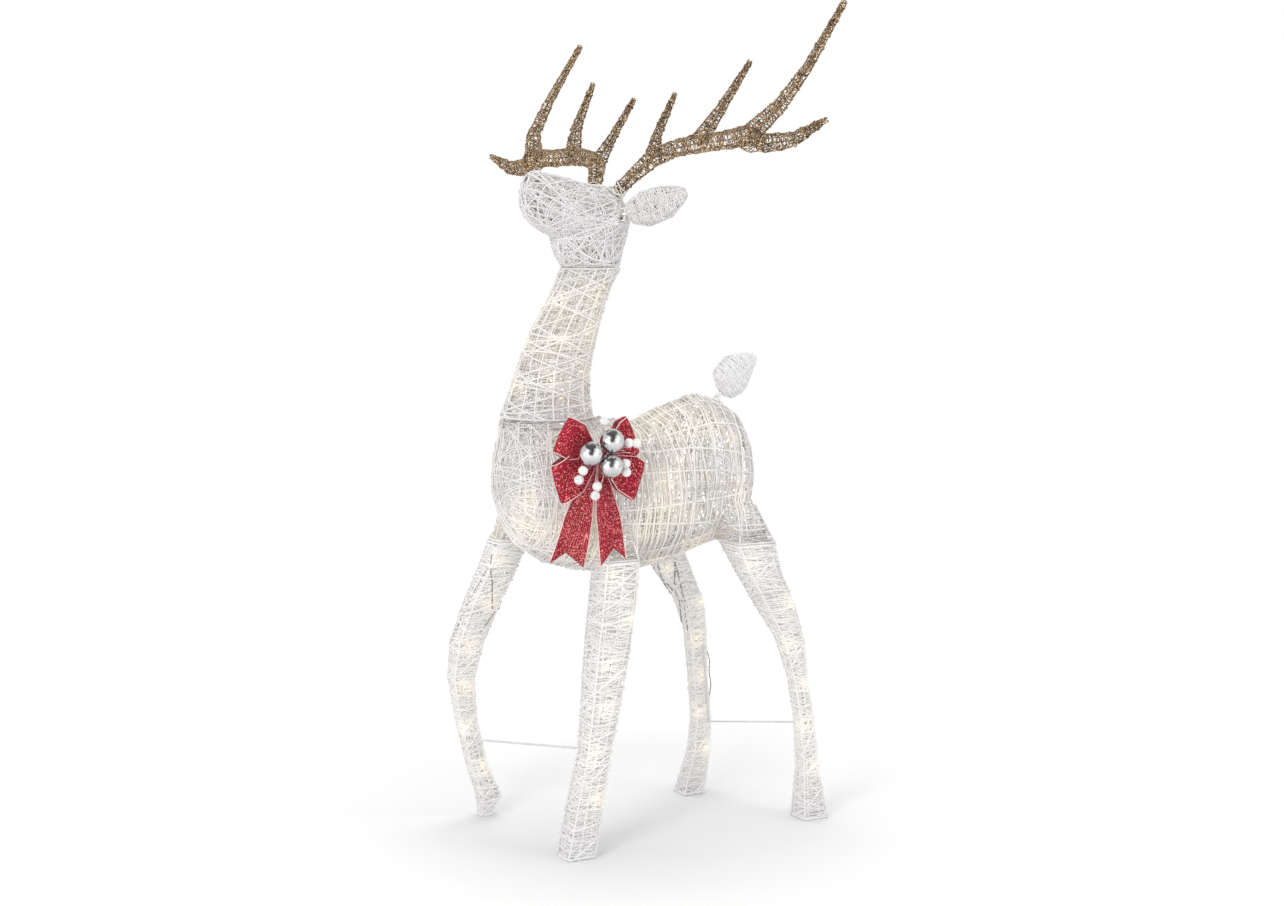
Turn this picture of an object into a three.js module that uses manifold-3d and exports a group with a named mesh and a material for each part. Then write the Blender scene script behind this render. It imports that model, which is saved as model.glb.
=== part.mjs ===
// A standing yard reindeer: welded wire frames, each wound with glittered cord and lit from inside by a
// string of small lamps. It comes apart into trunk, neck, head, two antlers, two pairs of legs and a bow.
import * as THREE from "three";
import { mergeVertices } from "three/addons/utils/BufferGeometryUtils.js";
import Module from "manifold-3d";

const wasm = await Module();
wasm.setup();

// Driving dimensions in millimetres. +Z is up, the reindeer looks along -Y and its left side is +X.
const FRAME_WIRE = 2.2; // radius of the welded frame wire
const WRAP = 3; // thickness of the layer of wound cord
const GAP = 0.4; // clearance between pieces that touch
const SEAM = 1; // gap between two sections that plug together
const LAMP_WIRE = 1; // radius of the lamp lead
const LAMP = 2.6; // radius of a lamp
const LAMP_LENGTH = 8;
const HOOP_SETBACK = 4; // from a section's open end to its first hoop
const PRONG = 3.4; // radius of the pin that plugs into a sleeve
const BAR_RISE = 8; // height of a section's foot bars above its open end
const SLEEVE = { bore: 4.4, outer: 6.6, length: 26 };
const BRACE = 2; // radius of the brace wire
const SLIVER = 0.02; // shortest edge that a finished piece keeps
const FOOTPRINT = { x: 46, y: 6 }; // moves the middle of the whole object's box to the origin

// Stations of the trunk: distance along Y, height of the middle, half height, half width.
const TRUNK = [
  [-279, 672, 74, 56],
  [-254, 655, 110, 90],
  [-204, 640, 128, 112],
  [-145, 632, 137, 124],
  [-85, 628, 142, 130],
  [-20, 622, 134, 126],
  [45, 642, 146, 122],
  [105, 662, 145, 120],
  [150, 664, 134, 112],
  [185, 662, 112, 93],
  [206, 660, 74, 60],
];
const TRUNK_ENDS = [-291, 213];
const TRUNK_SIDES = 12;

// Stations of the neck: height, middle along Y, half depth, half width, middle along X.
const NECK = [
  [776, -195, 84, 86, 0],
  [812, -190, 74, 74, 0],
  [850, -184, 67, 65, 0],
  [892, -173, 64, 60, 0],
  [935, -157, 61, 56, -1],
  [975, -138, 55, 52, -3],
  [1010, -119, 52, 50, -7],
  [1046, -99, 54, 49, -12],
];
const NECK_SEAT = [
  [774, -195, 84, 86, 0],
  [745, -196, 86, 88, 0],
  [700, -190, 80, 84, 0],
];
const NECK_PRONGS = [-42, 42]; // along Y from the middle of the neck's foot

// The head has its own frame: turned a little to the reindeer's left over the top of the neck.
const HEAD = { x: -20, y: -67, turn: 13.8 };
const SKULL = [
  [1048, -33, 54, 49, 0],
  [1076, -39, 68, 51, 0],
  [1102, -39, 76, 53, 0],
  [1130, -15, 57, 56, 0],
  [1155, -14, 50, 51, 0],
  [1176, -16, 38, 38, 0],
  [1190, -20, 22, 22, 0],
];
const SKULL_TOP = 1194;
const MUZZLE = [
  [0, 1140, 46, 46],
  [-45, 1143, 53, 50],
  [-85, 1149, 57, 45],
  [-122, 1158, 55, 38],
  [-156, 1168, 51, 33],
  [-176, 1173, 40, 26],
];
const MUZZLE_TIP = -182;

// Stations of a leg from its top: middle along X and Y, height, half width. Feet stand at height 0.
const LEGS = {
  front_left: [
    [95, -101, 519, 31],
    [104, -112, 450, 32],
    [118, -130, 365, 31],
    [135, -153, 256, 26],
    [146, -170, 180, 22],
    [152, -190, 100, 24],
    [160, -214, 0, 25],
  ],
  front_right: [
    [-90, -234, 540, 28],
    [-98, -254, 485, 27],
    [-108, -280, 425, 26],
    [-120, -306, 350, 24],
    [-132, -314, 280, 19],
    [-140, -301, 195, 15],
    [-150, -276, 105, 15],
    [-157, -250, 42, 18],
    [-160, -257, 0, 8],
  ],
  hind_left: [
    [92, 175, 533, 38],
    [100, 194, 478, 32],
    [107, 224, 418, 29],
    [114, 254, 350, 20],
    [120, 270, 275, 14],
    [125, 282, 188, 13],
    [127, 289, 100, 15],
    [127, 295, 0, 25],
  ],
  hind_right: [
    [-88, 90, 500, 30],
    [-94, 122, 445, 26],
    [-100, 155, 394, 21],
    [-107, 172, 332, 16],
    [-115, 182, 245, 14],
    [-121, 193, 150, 14],
    [-124, 190, 84, 16],
    [-127, 170, 0, 21],
  ],
};

// Left antler in the head's frame: points with a radius each. The right one is its mirror image.
const ANTLER = {
  beam: [
    [34, 2, 1184, 12],
    [56, 27, 1214, 14],
    [80, 51, 1242, 17],
    [128, 63, 1257, 16],
    [178, 71, 1262, 17],
    [245, 74, 1263, 17],
    [307, 76, 1268, 20],
    [350, 112, 1318, 15],
    [366, 165, 1385, 11],
    [371, 255, 1503, 7],
  ],
  brow_tine: [
    [80, 51, 1242, 14],
    [66, 74, 1285, 9],
    [58, 128, 1364, 6],
  ],
  middle_tine: [
    [178, 71, 1262, 15],
    [204, 104, 1320, 10],
    [223, 164, 1409, 6],
  ],
  end_tine: [
    [307, 76, 1268, 14],
    [345, 82, 1251, 17],
    [400, 90, 1254, 14],
    [476, 97, 1283, 5],
  ],
};
const ANTLER_ROLL = { degrees: -2, height: 1180 }; // the pair leans a little to the right
const ANTLER_SOCKET = { from: [24, -9, 1170], to: [33, 1, 1182] };

// Left ear in the head's frame, and the tail in the trunk's: points along the middle with half width and
// half thickness. Each one turns on a staple at its root.
const EAR = [
  [66, 2, 1145, 18, 5.5],
  [90, 22, 1152, 35, 8],
  [118, 46, 1165, 32, 8],
  [138, 63, 1178, 17, 6],
];
const EAR_TIP = [152, 76, 1187];
const TAIL = [
  [0, 170, 808, 22, 9],
  [0, 182, 828, 38, 13],
  [0, 202, 849, 37, 13],
  [0, 227, 866, 20, 9],
];
const TAIL_TIP = [0, 249, 880];

// The bow, about its knot on the left shoulder: Y and Z from the knot.
const BOW = { x: 158, y: -163, z: 719, loop: 97, width: 30, puff: 20, ribbon: 1.2, tail_x: -22 };
const BOW_LOOPS = { upper_front: 148, lower_front: -147, upper_rear: 32, lower_rear: -33 };
const BOW_TAILS = {
  front: [[-13, -16], [-1, -16], [-8, -110], [-26, -203], [-60, -172], [-93, -192], [-62, -108]],
  rear: [[2, -16], [14, -16], [46, -110], [62, -194], [36, -170], [8, -203], [0, -108]],
};
const BALLS = { left: [-37, 8], top: [4, 29], right: [2, -15] };
const BALL = { radius: 20, x: 40 };
const SPRAYS = {
  front: [[-50, -21], [-58, -37]],
  lower: [[-23, -50], [-27, -66]],
  rear: [[33, -13], [34, -28]],
  upper: [[39, 23], [54, 22], [-9, 63]],
};
const BERRY = { radius: 8.5, x: 36 };

// Colour, roughness and metalness of each finish.
const FINISHES = {
  frame: [0xf1f0ee, 0.5, 0.2],
  wrap: [0xe9e7e6, 0.75, 0.1],
  lamps: [0xffe2a0, 0.3, 0],
  antler: [0x8d6a42, 0.65, 0.3],
  ribbon: [0xa01420, 0.8, 0.1],
  silver: [0xc9cbd0, 0.12, 1],
  berry: [0xf4f1ef, 0.45, 0],
  clear: [0xdedede, 0.3, 0],
};

// ---- making and joining solids ----

const vec = (x, y, z) => new THREE.Vector3(x, y, z);

// A closed geometry as a solid for cutting and joining, with its faces pointing out.
function solidOf(geometry) {
  const bare = geometry.clone();
  bare.deleteAttribute("normal");
  bare.deleteAttribute("uv");
  const merged = mergeVertices(bare, 1e-4);
  const at = merged.attributes.position;
  const corners = [0, 1, 2].map(() => new THREE.Vector3());
  const faces = [];
  let volume = 0;
  for (let i = 0; i < merged.index.count; i += 3) {
    const face = [0, 1, 2].map((k) => merged.index.getX(i + k));
    if (new Set(face).size < 3) continue;
    face.forEach((v, k) => corners[k].fromBufferAttribute(at, v));
    volume += corners[0].dot(corners[1].clone().cross(corners[2]));
    faces.push(face);
  }
  if (volume < 0) faces.forEach((face) => face.reverse());
  const triVerts = new Uint32Array(faces.flat());
  return new wasm.Manifold(new wasm.Mesh({ numProp: 3, vertProperties: at.array, triVerts }));
}

const joined = (solids) => solids.reduce((whole, solid) => whole.add(solid));

// The main piece of a solid that cutting has left in several.
const largest = (solid) => solid.decompose().reduce((a, b) => (a.volume() > b.volume() ? a : b));

// The finished surface, with slivers that are left by cutting closed up.
function geometryOf(solid) {
  const mesh = solid.asOriginal().simplify(SLIVER).getMesh();
  return new THREE.BufferGeometry()
    .setAttribute("position", new THREE.BufferAttribute(new Float32Array(mesh.vertProperties), 3))
    .setIndex(new THREE.BufferAttribute(new Uint32Array(mesh.triVerts), 1));
}

// A closed surface through rows of points, all rows the same length: a revolved grid bent onto them.
function lattice(rows) {
  const sides = rows[0].length;
  const profile = rows.map((_, k) => new THREE.Vector2(1, k));
  const geometry = new THREE.LatheGeometry(profile, sides);
  const at = geometry.attributes.position;
  for (let i = 0; i <= sides; i++) {
    rows.forEach((row, k) => at.setXYZ(i * rows.length + k, ...row[i % sides].toArray()));
  }
  return solidOf(geometry);
}

const pole = (point, sides) => Array(sides).fill(point);

// A ring of points about a middle, from its two half axes.
function ring(middle, across, along, sides, start = 0) {
  return Array.from({ length: sides }, (_, i) => {
    const turn = start + (i * 2 * Math.PI) / sides;
    return middle
      .clone()
      .addScaledVector(across, Math.cos(turn))
      .addScaledVector(along, Math.sin(turn));
  });
}

// Round wire through points. radius is one number or one per point; a closed wire joins end to start.
// axis is a direction that the wire never runs along, for one that winds round it.
function wire(points, radius, { sides = 3, closed = false, axis = null } = {}) {
  const count = points.length;
  const middle = points.reduce((sum, p) => sum.clone().add(p)).divideScalar(count);
  const run = points[count - 1].clone().sub(points[0]);
  const flat = [vec(1, 0, 0), vec(0, 1, 0), vec(0, 0, 1)];
  const side = axis ?? flat.reduce((a, b) => (Math.abs(run.dot(a)) < Math.abs(run.dot(b)) ? a : b));
  const rows = points.map((point, k) => {
    const before = points[closed ? (k + count - 1) % count : Math.max(k - 1, 0)];
    const after = points[closed ? (k + 1) % count : Math.min(k + 1, count - 1)];
    const forward = after.clone().sub(before).normalize();
    const out = closed ? point.clone().sub(middle) : side.clone();
    const across = out.addScaledVector(forward, -out.dot(forward)).normalize();
    const size = Array.isArray(radius) ? radius[k] : radius;
    const other = forward.clone().cross(across);
    return ring(point, across.multiplyScalar(size), other.multiplyScalar(size), sides, Math.PI / sides);
  });
  if (closed) return lattice([...rows, rows[0]]);
  return lattice([pole(points[0], sides), ...rows, pole(points[count - 1], sides)]);
}

const rod = (from, to, radius, sides = 3) => wire([from, to], radius, { sides });

// ---- sections: a lofted body with a skin of wound cord, a wire frame and a string of lamps ----

// A section keeps its rings of surface points, and the pole that closes an end, if one does.
const section = (rings, { start = null, end = null } = {}) => ({ rings, start, end });

const upright = (stations, sides) =>
  stations.map(([z, y, depth, width, x]) => ring(vec(x, y, z), vec(width, 0, 0), vec(0, depth, 0), sides));

const level = (stations, sides) =>
  stations.map(([y, z, height, width]) => ring(vec(0, y, z), vec(width, 0, 0), vec(0, 0, height), sides));

// Leg rings are square, with a frame wire in each corner.
const legRings = (stations) =>
  stations.map(([x, y, z, half]) => {
    const corner = half * Math.SQRT2;
    return ring(vec(x, y, z), vec(corner, 0, 0), vec(0, corner, 0), 4, Math.PI / 4);
  });

// Flat leaf: rings across a path, wide one way and thin the other.
function leafRings(stations, tip, wide, sides = 8) {
  const path = [...stations.map(([x, y, z]) => vec(x, y, z)), vec(...tip)];
  return stations.map(([, , , half, thick], k) => {
    const forward = path[k + 1].clone().sub(path[Math.max(k - 1, 0)]).normalize();
    const across = wide.clone().addScaledVector(forward, -wide.dot(forward)).normalize();
    const through = forward.clone().cross(across);
    return ring(path[k], across.multiplyScalar(half), through.multiplyScalar(thick), sides);
  });
}

// The rings moved in from the surface by a depth, square to it.
function inset({ rings }, depth) {
  const sides = rings[0].length;
  const step = depth / Math.cos(Math.PI / sides);
  return rings.map((points, k) => {
    const middle = points.reduce((sum, p) => sum.clone().add(p)).divideScalar(sides);
    return points.map((point, i) => {
      const around = points[(i + 1) % sides].clone().sub(points[(i + sides - 1) % sides]);
      const lower = rings[Math.max(k - 1, 0)][i];
      const along = rings[Math.min(k + 1, rings.length - 1)][i].clone().sub(lower);
      const out = around.cross(along).normalize();
      if (out.dot(point.clone().sub(middle)) < 0) out.negate();
      return point.clone().addScaledVector(out, -step);
    });
  });
}

// The section as a closed solid, moved in from its surface by a depth. An open end is stretched by
// overrun along the line of its last two middles, so that a cutter made this way passes the end face.
function bodyOf(shape, depth = 0, overrun = 0) {
  const rows = depth ? inset(shape, depth) : shape.rings.map((points) => [...points]);
  const sides = rows[0].length;
  const middleOf = (points) => points.reduce((sum, p) => sum.clone().add(p)).divideScalar(sides);
  const close = (end, row, next, first) => {
    const middle = middleOf(row);
    const outward = middle.clone().sub(middleOf(next)).normalize();
    if (end) return [pole(end.clone().addScaledVector(outward, -depth), sides)];
    const moved = row.map((p) => p.clone().addScaledVector(outward, overrun));
    const cap = pole(middle.clone().addScaledVector(outward, overrun), sides);
    if (!overrun) return [cap];
    return first ? [cap, moved] : [moved, cap];
  };
  const last = rows.length - 1;
  return lattice([
    ...close(shape.start, rows[0], rows[1], true),
    ...rows,
    ...close(shape.end, rows[last], rows[last - 1], false),
  ]);
}

const skin = (shape, thickness = WRAP) => bodyOf(shape).subtract(bodyOf(shape, thickness, 2));

const FRAME_DEPTH = WRAP + GAP + FRAME_WIRE;

// A ring moved a little towards the next one, away from the open end that it lies on.
const setBack = (row, next) => row.map((p, i) => p.clone().lerp(next[i], HOOP_SETBACK / p.distanceTo(next[i])));

// Welded hoops at some rings and long wires through some of their points.
function frameOf(shape, hoops, runs, depth = FRAME_DEPTH) {
  const rows = inset(shape, depth);
  if (!shape.start) rows[0] = setBack(rows[0], rows[1]);
  if (!shape.end) rows[rows.length - 1] = setBack(rows[rows.length - 1], rows[rows.length - 2]);
  const hoopWires = hoops.map((k) => wire(rows[k], FRAME_WIRE, { closed: true }));
  const first = Math.min(...hoops);
  const last = Math.max(...hoops);
  const longWires = runs.map((i) => wire(rows.slice(first, last + 1).map((row) => row[i]), FRAME_WIRE));
  return joined([...hoopWires, ...longWires]);
}

const every = (count, step = 1, from = 0) =>
  Array.from({ length: Math.ceil((count - from) / step) }, (_, i) => from + i * step);

// A point inside a section: how far along its rings, which way round, and how deep below the surface.
function within(rows, along, turn) {
  const k = Math.min(Math.floor(along), rows.length - 2);
  const sides = rows[0].length;
  const place = (((turn % 1) + 1) % 1) * sides;
  const i = Math.floor(place);
  const at = (row) => row[i % sides].clone().lerp(row[(i + 1) % sides], place - i);
  return at(rows[k]).lerp(at(rows[k + 1]), along - k);
}

// A lamp that sits across the lead between two of its points.
function lampOn(before, after, outward) {
  const middle = before.clone().lerp(after, 0.5);
  const back = middle.clone().addScaledVector(outward, -2 * LAMP_WIRE);
  return rod(back, middle.clone().addScaledVector(outward, LAMP_LENGTH), LAMP, 4);
}

// A lamp lead wound along the inside of a section, with a lamp on every few points of it.
function lampString(shape, { depth, from, to, turns, points, lamps }) {
  const rows = inset(shape, depth);
  const middles = rows.map((row) => row.reduce((sum, p) => sum.clone().add(p)).divideScalar(row.length));
  const path = every(points).map((i) => {
    const part = i / (points - 1);
    return within(rows, from + (to - from) * part, turns * part);
  });
  const bulbs = every(points, lamps, 1).map((i) => {
    const k = Math.round(from + ((to - from) * i) / (points - 1));
    const outward = path[i].clone().sub(middles[k]).setZ(0).normalize();
    return lampOn(path[i], path[i + 1], outward);
  });
  const axis = middles[middles.length - 1].clone().sub(middles[0]).normalize();
  return joined([wire(path, LAMP_WIRE, { axis }), ...bulbs]);
}

// ---- plug connections ----

const down = (point, by) => point.clone().setZ(point.z - by);

// Wires from corners to a hub.
const spokes = (corners, hub) => joined(corners.map((corner) => rod(corner, hub, FRAME_WIRE)));

// What a frame leaves free around a sleeve.
const sleeveRoom = (at) => rod(down(at, 45), down(at, -60), SLEEVE.outer + GAP, 12);

// The open tube that a prong drops or pushes into. top is the upper end of it.
function sleeveTube(top) {
  const bottom = down(top, SLEEVE.length);
  const bore = rod(down(top, -2), down(bottom, 2), SLEEVE.bore, 10);
  return rod(top, bottom, SLEEVE.outer, 10).subtract(bore);
}

// ---- trunk ----

const trunk = section(level(TRUNK, TRUNK_SIDES), {
  start: vec(0, TRUNK_ENDS[0], TRUNK[0][1]),
  end: vec(0, TRUNK_ENDS[1], TRUNK[TRUNK.length - 1][1]),
});
const neckSeat = section(upright(NECK_SEAT, 12));
const legTop = (name) => LEGS[name][0];
const LEG_NAMES = Object.keys(LEGS);
const STUB_HEIGHT = 75;

// The stub of the trunk that a leg's top meets, leaning in towards the middle of the trunk.
const stub = (name) => {
  const [x, y, z, half] = legTop(name);
  const mouth = [x, y, z + SEAM, half];
  const root = [x * 0.86, y * 0.86, z + STUB_HEIGHT, half * 0.85];
  return section(legRings([mouth, root]));
};

// The room inside the trunk, its stubs and the neck's seat, at a depth below their surface.
function trunkRoom(depth, overrun = 0) {
  const stubs = LEG_NAMES.map((name) => bodyOf(stub(name), depth, overrun));
  return joined([bodyOf(trunk, depth), bodyOf(neckSeat, depth, overrun), ...stubs]);
}

// The room that the legs' tops take where the belly hangs past them.
const legRoom = () => joined(LEG_NAMES.map((name) => bodyOf(section(legRings(LEGS[name].slice(0, 2))), -SEAM, SEAM)));

function trunkWrap() {
  const shell = trunkRoom(0).subtract(trunkRoom(WRAP, 2));
  return [legRoom(), inletHole(), stapleHole(HINGES.tail)].reduce((left, hole) => left.subtract(hole), shell);
}

function trunkFrame() {
  const hoops = [1, 3, 6, 9];
  const cage = frameOf(trunk, hoops, every(TRUNK_SIDES, 2));
  const whole = joined([cage, neckSeatFrame(), ...LEG_NAMES.map(stubFrame)]);
  const sleeves = [...neckSleevePlaces(NECK_SEAT[0][0]), ...LEG_NAMES.map((name) => pointAt(legTop(name)))];
  const kept = whole.intersect(trunkRoom(WRAP + GAP)).subtract(legRoom()).subtract(inletHole());
  return largest(sleeves.reduce((left, at) => left.subtract(sleeveRoom(at)), kept));
}

function stubFrame(name) {
  const [x, y, z] = legTop(name);
  const hubHeight = z + SEAM + 12;
  const corners = inset(stub(name), FRAME_DEPTH)[0].map((p) => p.clone().setZ(hubHeight));
  const cage = inset(trunk, FRAME_DEPTH).slice(1, 10);
  const ties = [corners[0], corners[2]].map((corner) => rod(corner, nearest(cage, corner), FRAME_WIRE));
  const hub = vec(x, y, hubHeight);
  const mouth = wire(corners, FRAME_WIRE, { closed: true });
  return joined([mouth, spokes(corners, hub), ...ties]);
}

function neckSeatFrame() {
  const height = NECK_SEAT[0][0] - 8;
  const rows = inset(neckSeat, FRAME_DEPTH);
  const corners = rows[0].map((p) => p.clone().setZ(height));
  const cage = inset(trunk, FRAME_DEPTH).slice(1, 5);
  const ties = [0, 3, 6, 9].map((i) => {
    const foot = corners[i].clone().setZ(NECK_SEAT[1][0]);
    const lower = foot.clone().lerp(vec(0, NECK_SEAT[1][1], foot.z), 0.03);
    return joined([rod(corners[i], lower, FRAME_WIRE), rod(lower, nearest(cage, lower), FRAME_WIRE)]);
  });
  const hub = vec(0, NECK_SEAT[0][1], height);
  const bars = spokes([0, 3, 6, 9].map((i) => corners[i]), hub);
  return joined([wire(corners, FRAME_WIRE, { closed: true }), bars, ...ties]);
}

const neckSleevePlaces = (height) => NECK_PRONGS.map((y) => vec(0, NECK_SEAT[0][1] + y, height));

// The nearest welded crossing of the trunk's cage, which has a long wire through every second point.
function nearest(rows, point) {
  const crossings = rows.flatMap((row) => row.filter((_, i) => i % 2 === 0));
  return crossings.reduce((a, b) => (a.distanceTo(point) < b.distanceTo(point) ? a : b));
}

const INLET = { x: -70, y: 12, z: 516, radius: 9 };

// The cup that the power lead would push into, through the belly on the right side.
function inlet() {
  const half = [
    [0, 18],
    [INLET.radius, 18],
    [INLET.radius, -22],
    [5, -22],
    [5, -4],
    [0, -4],
  ];
  const cup = new THREE.LatheGeometry(half.map(([r, h]) => new THREE.Vector2(r, h)), 10);
  cup.rotateX(Math.PI / 2).translate(INLET.x, INLET.y, INLET.z);
  return solidOf(cup);
}

function inletHole() {
  const { x, y, z, radius } = INLET;
  return rod(vec(x, y, z - 40), vec(x, y, z + 40), radius + GAP, 12);
}

// A lamp lead wound along the inside of the trunk.
const trunkLamps = () => lampString(trunk, { depth: 42, from: 1, to: 9, turns: 4, points: 33, lamps: 2 });

// ---- neck ----

const neck = section(upright(NECK, 12));

function neckFrame() {
  const cage = frameOf(neck, [0, 3, 7], [0, 3, 6, 9]);
  const rows = inset(neck, FRAME_DEPTH);
  const [z, y] = NECK[0];
  const foot = vec(0, y, z + BAR_RISE);
  const feet = neckSleevePlaces(foot.z);
  const rise = BAR_RISE / (NECK[1][0] - z);
  const bars = spokes([0, 3, 6, 9].map((i) => within(rows, rise, i / 12)), foot);
  const prongs = feet.map((at) => rod(at, down(at, BAR_RISE + SLEEVE.length), PRONG, 8));
  const mouth = setBack(rows[7], rows[6]).filter((_, i) => i % 3 === 0);
  const hub = down(headSleevePlace(), HOOP_SETBACK);
  return joined([cage, bars, spokes(mouth, hub)]).subtract(sleeveRoom(hub)).add(joined(prongs));
}

const neckLamps = () => lampString(neck, { depth: 26, from: 0.8, to: 6, turns: 3, points: 25, lamps: 2 });

// The middle of the neck's top, where the head's prong goes in.
const headSleevePlace = () => {
  const [z, y, , , x] = NECK[NECK.length - 1];
  return vec(x, y, z);
};

const neckSleeves = () => neckSleevePlaces(NECK_SEAT[0][0]).map((at) => sleeveTube(at));

// ---- head, in its own frame ----

const skull = section(upright(SKULL, 12), { end: vec(0, SKULL[6][1], SKULL_TOP) });
const muzzle = section(level(MUZZLE, 12), { end: vec(0, MUZZLE_TIP, MUZZLE[5][1]) });

const headRoom = (depth, overrun = 0) => bodyOf(skull, depth, overrun).add(bodyOf(muzzle, depth));

function headWrap() {
  const outer = headRoom(0);
  const inner = headRoom(WRAP, 2);
  const holes = [1, -1].flatMap((side) => [socketHole(side), stapleHole(HINGES.ear, side)]);
  return holes.reduce((left, hole) => left.subtract(hole), outer.subtract(inner));
}

function headFrame() {
  const cage = frameOf(skull, [0, 4], [0, 3, 6, 9]);
  const snout = frameOf(muzzle, [2, 4], [0, 3, 6, 9]);
  const rows = inset(skull, FRAME_DEPTH);
  const ahead = inset(muzzle, FRAME_DEPTH);
  const ties = [
    rod(rows[4][9], ahead[2][3], FRAME_WIRE),
    rod(rows[2][9], ahead[2][9], FRAME_WIRE),
    rod(rows[2][0], ahead[2][0], FRAME_WIRE),
    rod(rows[2][6], ahead[2][6], FRAME_WIRE),
  ];
  const [z, y] = SKULL[0];
  const foot = vec(0, y, z + BAR_RISE);
  const rise = BAR_RISE / (SKULL[1][0] - z);
  const bars = spokes([0, 3, 6, 9].map((i) => within(rows, rise, i / 12)), foot);
  const kept = joined([cage, snout, ...ties, bars]).intersect(headRoom(WRAP + GAP));
  const holes = [1, -1].flatMap((side) => [socketHole(side), stapleHole(HINGES.ear, side)]);
  const cleared = holes.reduce((left, hole) => left.subtract(hole), kept);
  return cleared.add(rod(foot, down(foot, BAR_RISE + SLEEVE.length), PRONG, 8));
}

// ---- antlers, in the head's frame ----

const pointAt = (p) => vec(p[0], p[1], p[2]);
const socketLine = () => [pointAt(ANTLER_SOCKET.from), pointAt(ANTLER_SOCKET.to)];

const branch = (points, less = 0) =>
  wire(points.map(pointAt), points.map((p) => Math.max(p[3] - less, 2)), { sides: 6 });

function antlerWrap() {
  const outer = joined(Object.values(ANTLER).map((points) => branch(points)));
  const thinner = Object.values(ANTLER).map((points) => branch(points.map(shortened(points)), WRAP * 1.2));
  const [root] = ANTLER.beam;
  const mouth = pointAt(ANTLER.beam[1]).sub(pointAt(root)).normalize();
  const open = rod(pointAt(root).addScaledVector(mouth, -5), pointAt(root).addScaledVector(mouth, 9), 8, 8);
  return outer.subtract(joined(thinner)).subtract(open);
}

// The last point of a branch drawn back, so that the hollow stops short of the tip.
const shortened = (points) => (p, k) => {
  if (k < points.length - 1) return p;
  return p.map((value, i) => (i < 3 ? value + (points[k - 1][i] - value) * 0.12 : value));
};

function antlerFrame() {
  const core = (points) => wire(points.map(shortened(points)).map(pointAt), 1.6, { sides: 3 });
  const [from, to] = socketLine();
  return joined([...Object.values(ANTLER).map(core), rod(from, pointAt(ANTLER.beam[0]), 2.6, 8)]);
}

function antlerSocket() {
  const [from, to] = socketLine();
  const run = to.clone().sub(from);
  const start = from.clone().addScaledVector(run, -0.35);
  const bore = rod(from.clone().addScaledVector(run, -0.2), to.clone().addScaledVector(run, 0.2), 3.4, 10);
  return rod(start, to, 5.2, 10).subtract(bore);
}

// Where a point of the antlers' own frame lies in the head's frame.
function leant(p) {
  const pivot = vec(0, 0, ANTLER_ROLL.height);
  const turn = THREE.MathUtils.degToRad(ANTLER_ROLL.degrees);
  return p.clone().sub(pivot).applyAxisAngle(vec(0, 1, 0), turn).add(pivot);
}

const socketHole = (side) => {
  const [from, to] = socketLine().map((p) => leant(vec(side * p.x, p.y, p.z)));
  const run = to.clone().sub(from);
  return rod(from.clone().addScaledVector(run, -1), to.clone().addScaledVector(run, 1), 5.2 + GAP, 10);
};

// ---- staples: the wire eyes that the ears and the tail turn on ----

const STAPLE = 1.8; // radius of the staple's wire
const HINGES = {
  ear: { middle: [60, -2, 1143], out: [0.86, 0.5, 0.1], axis: [0, 0.1, 1], half: 11, legs: 16 },
  tail: { middle: [0, 163, 802], out: [0, 0.55, 0.83], axis: [1, 0, 0], half: 11, legs: 18 },
};

function staplePath({ middle, out, axis, half, legs }) {
  const place = pointAt(middle);
  const along = pointAt(axis).normalize();
  const inward = pointAt(out).normalize().negate();
  const corners = [-half, half].map((by) => place.clone().addScaledVector(along, by));
  const roots = corners.map((p) => p.clone().addScaledVector(inward, legs));
  return [roots[0], corners[0], corners[1], roots[1]];
}

const staple = (hinge) => wire(staplePath(hinge), STAPLE, { sides: 6 });
const stapleHole = (hinge, side = 1) =>
  wire(staplePath(hinge).map((p) => vec(side * p.x, p.y, p.z)), STAPLE + 1.5, { sides: 6 });

// A leaf's frame: its outline and middle rib, and the eye that goes round the staple.
function leafFrame(leaf, hinge) {
  const rows = inset(leaf, WRAP * 0.8 + FRAME_WIRE);
  const quarter = rows[0].length / 4;
  const middleOf = (row) => row[0].clone().add(row[2 * quarter]).divideScalar(2);
  const edge = (i) => rows.map((row) => row[i].clone().lerp(middleOf(row), 0.1));
  const outline = [...edge(0), ...edge(2 * quarter).reverse()];
  const place = pointAt(hinge.middle);
  const along = pointAt(hinge.axis).normalize();
  const out = pointAt(hinge.out).normalize();
  const side = along.clone().cross(out);
  const eye = ring(place, out.clone().multiplyScalar(5), side.multiplyScalar(5), 8);
  const neckEnd = place.clone().addScaledVector(out, 5);
  return joined([
    wire(outline, 1.6, { closed: true }),
    wire(eye, 1.6, { closed: true }),
    rod(neckEnd, middleOf(rows[1]), 1.6),
    rod(outline[0], outline[outline.length - 1], 1.6),
  ]);
}

// ---- legs ----

const leg = (name) => section(legRings(LEGS[name]));

function legFrame(name) {
  const shape = leg(name);
  const last = shape.rings.length - 1;
  const hoops = [0, last - 1];
  const rows = inset(shape, FRAME_DEPTH);
  const [x, y, z] = legTop(name);
  const hub = vec(x, y, z);
  const prong = rod(down(hub, HOOP_SETBACK), down(hub, -SLEEVE.length - 4), PRONG, 8);
  const mouth = setBack(rows[0], rows[1]);
  return joined([frameOf(shape, hoops, [0, 1, 2, 3]), spokes(mouth, down(hub, HOOP_SETBACK)), prong]);
}

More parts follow.
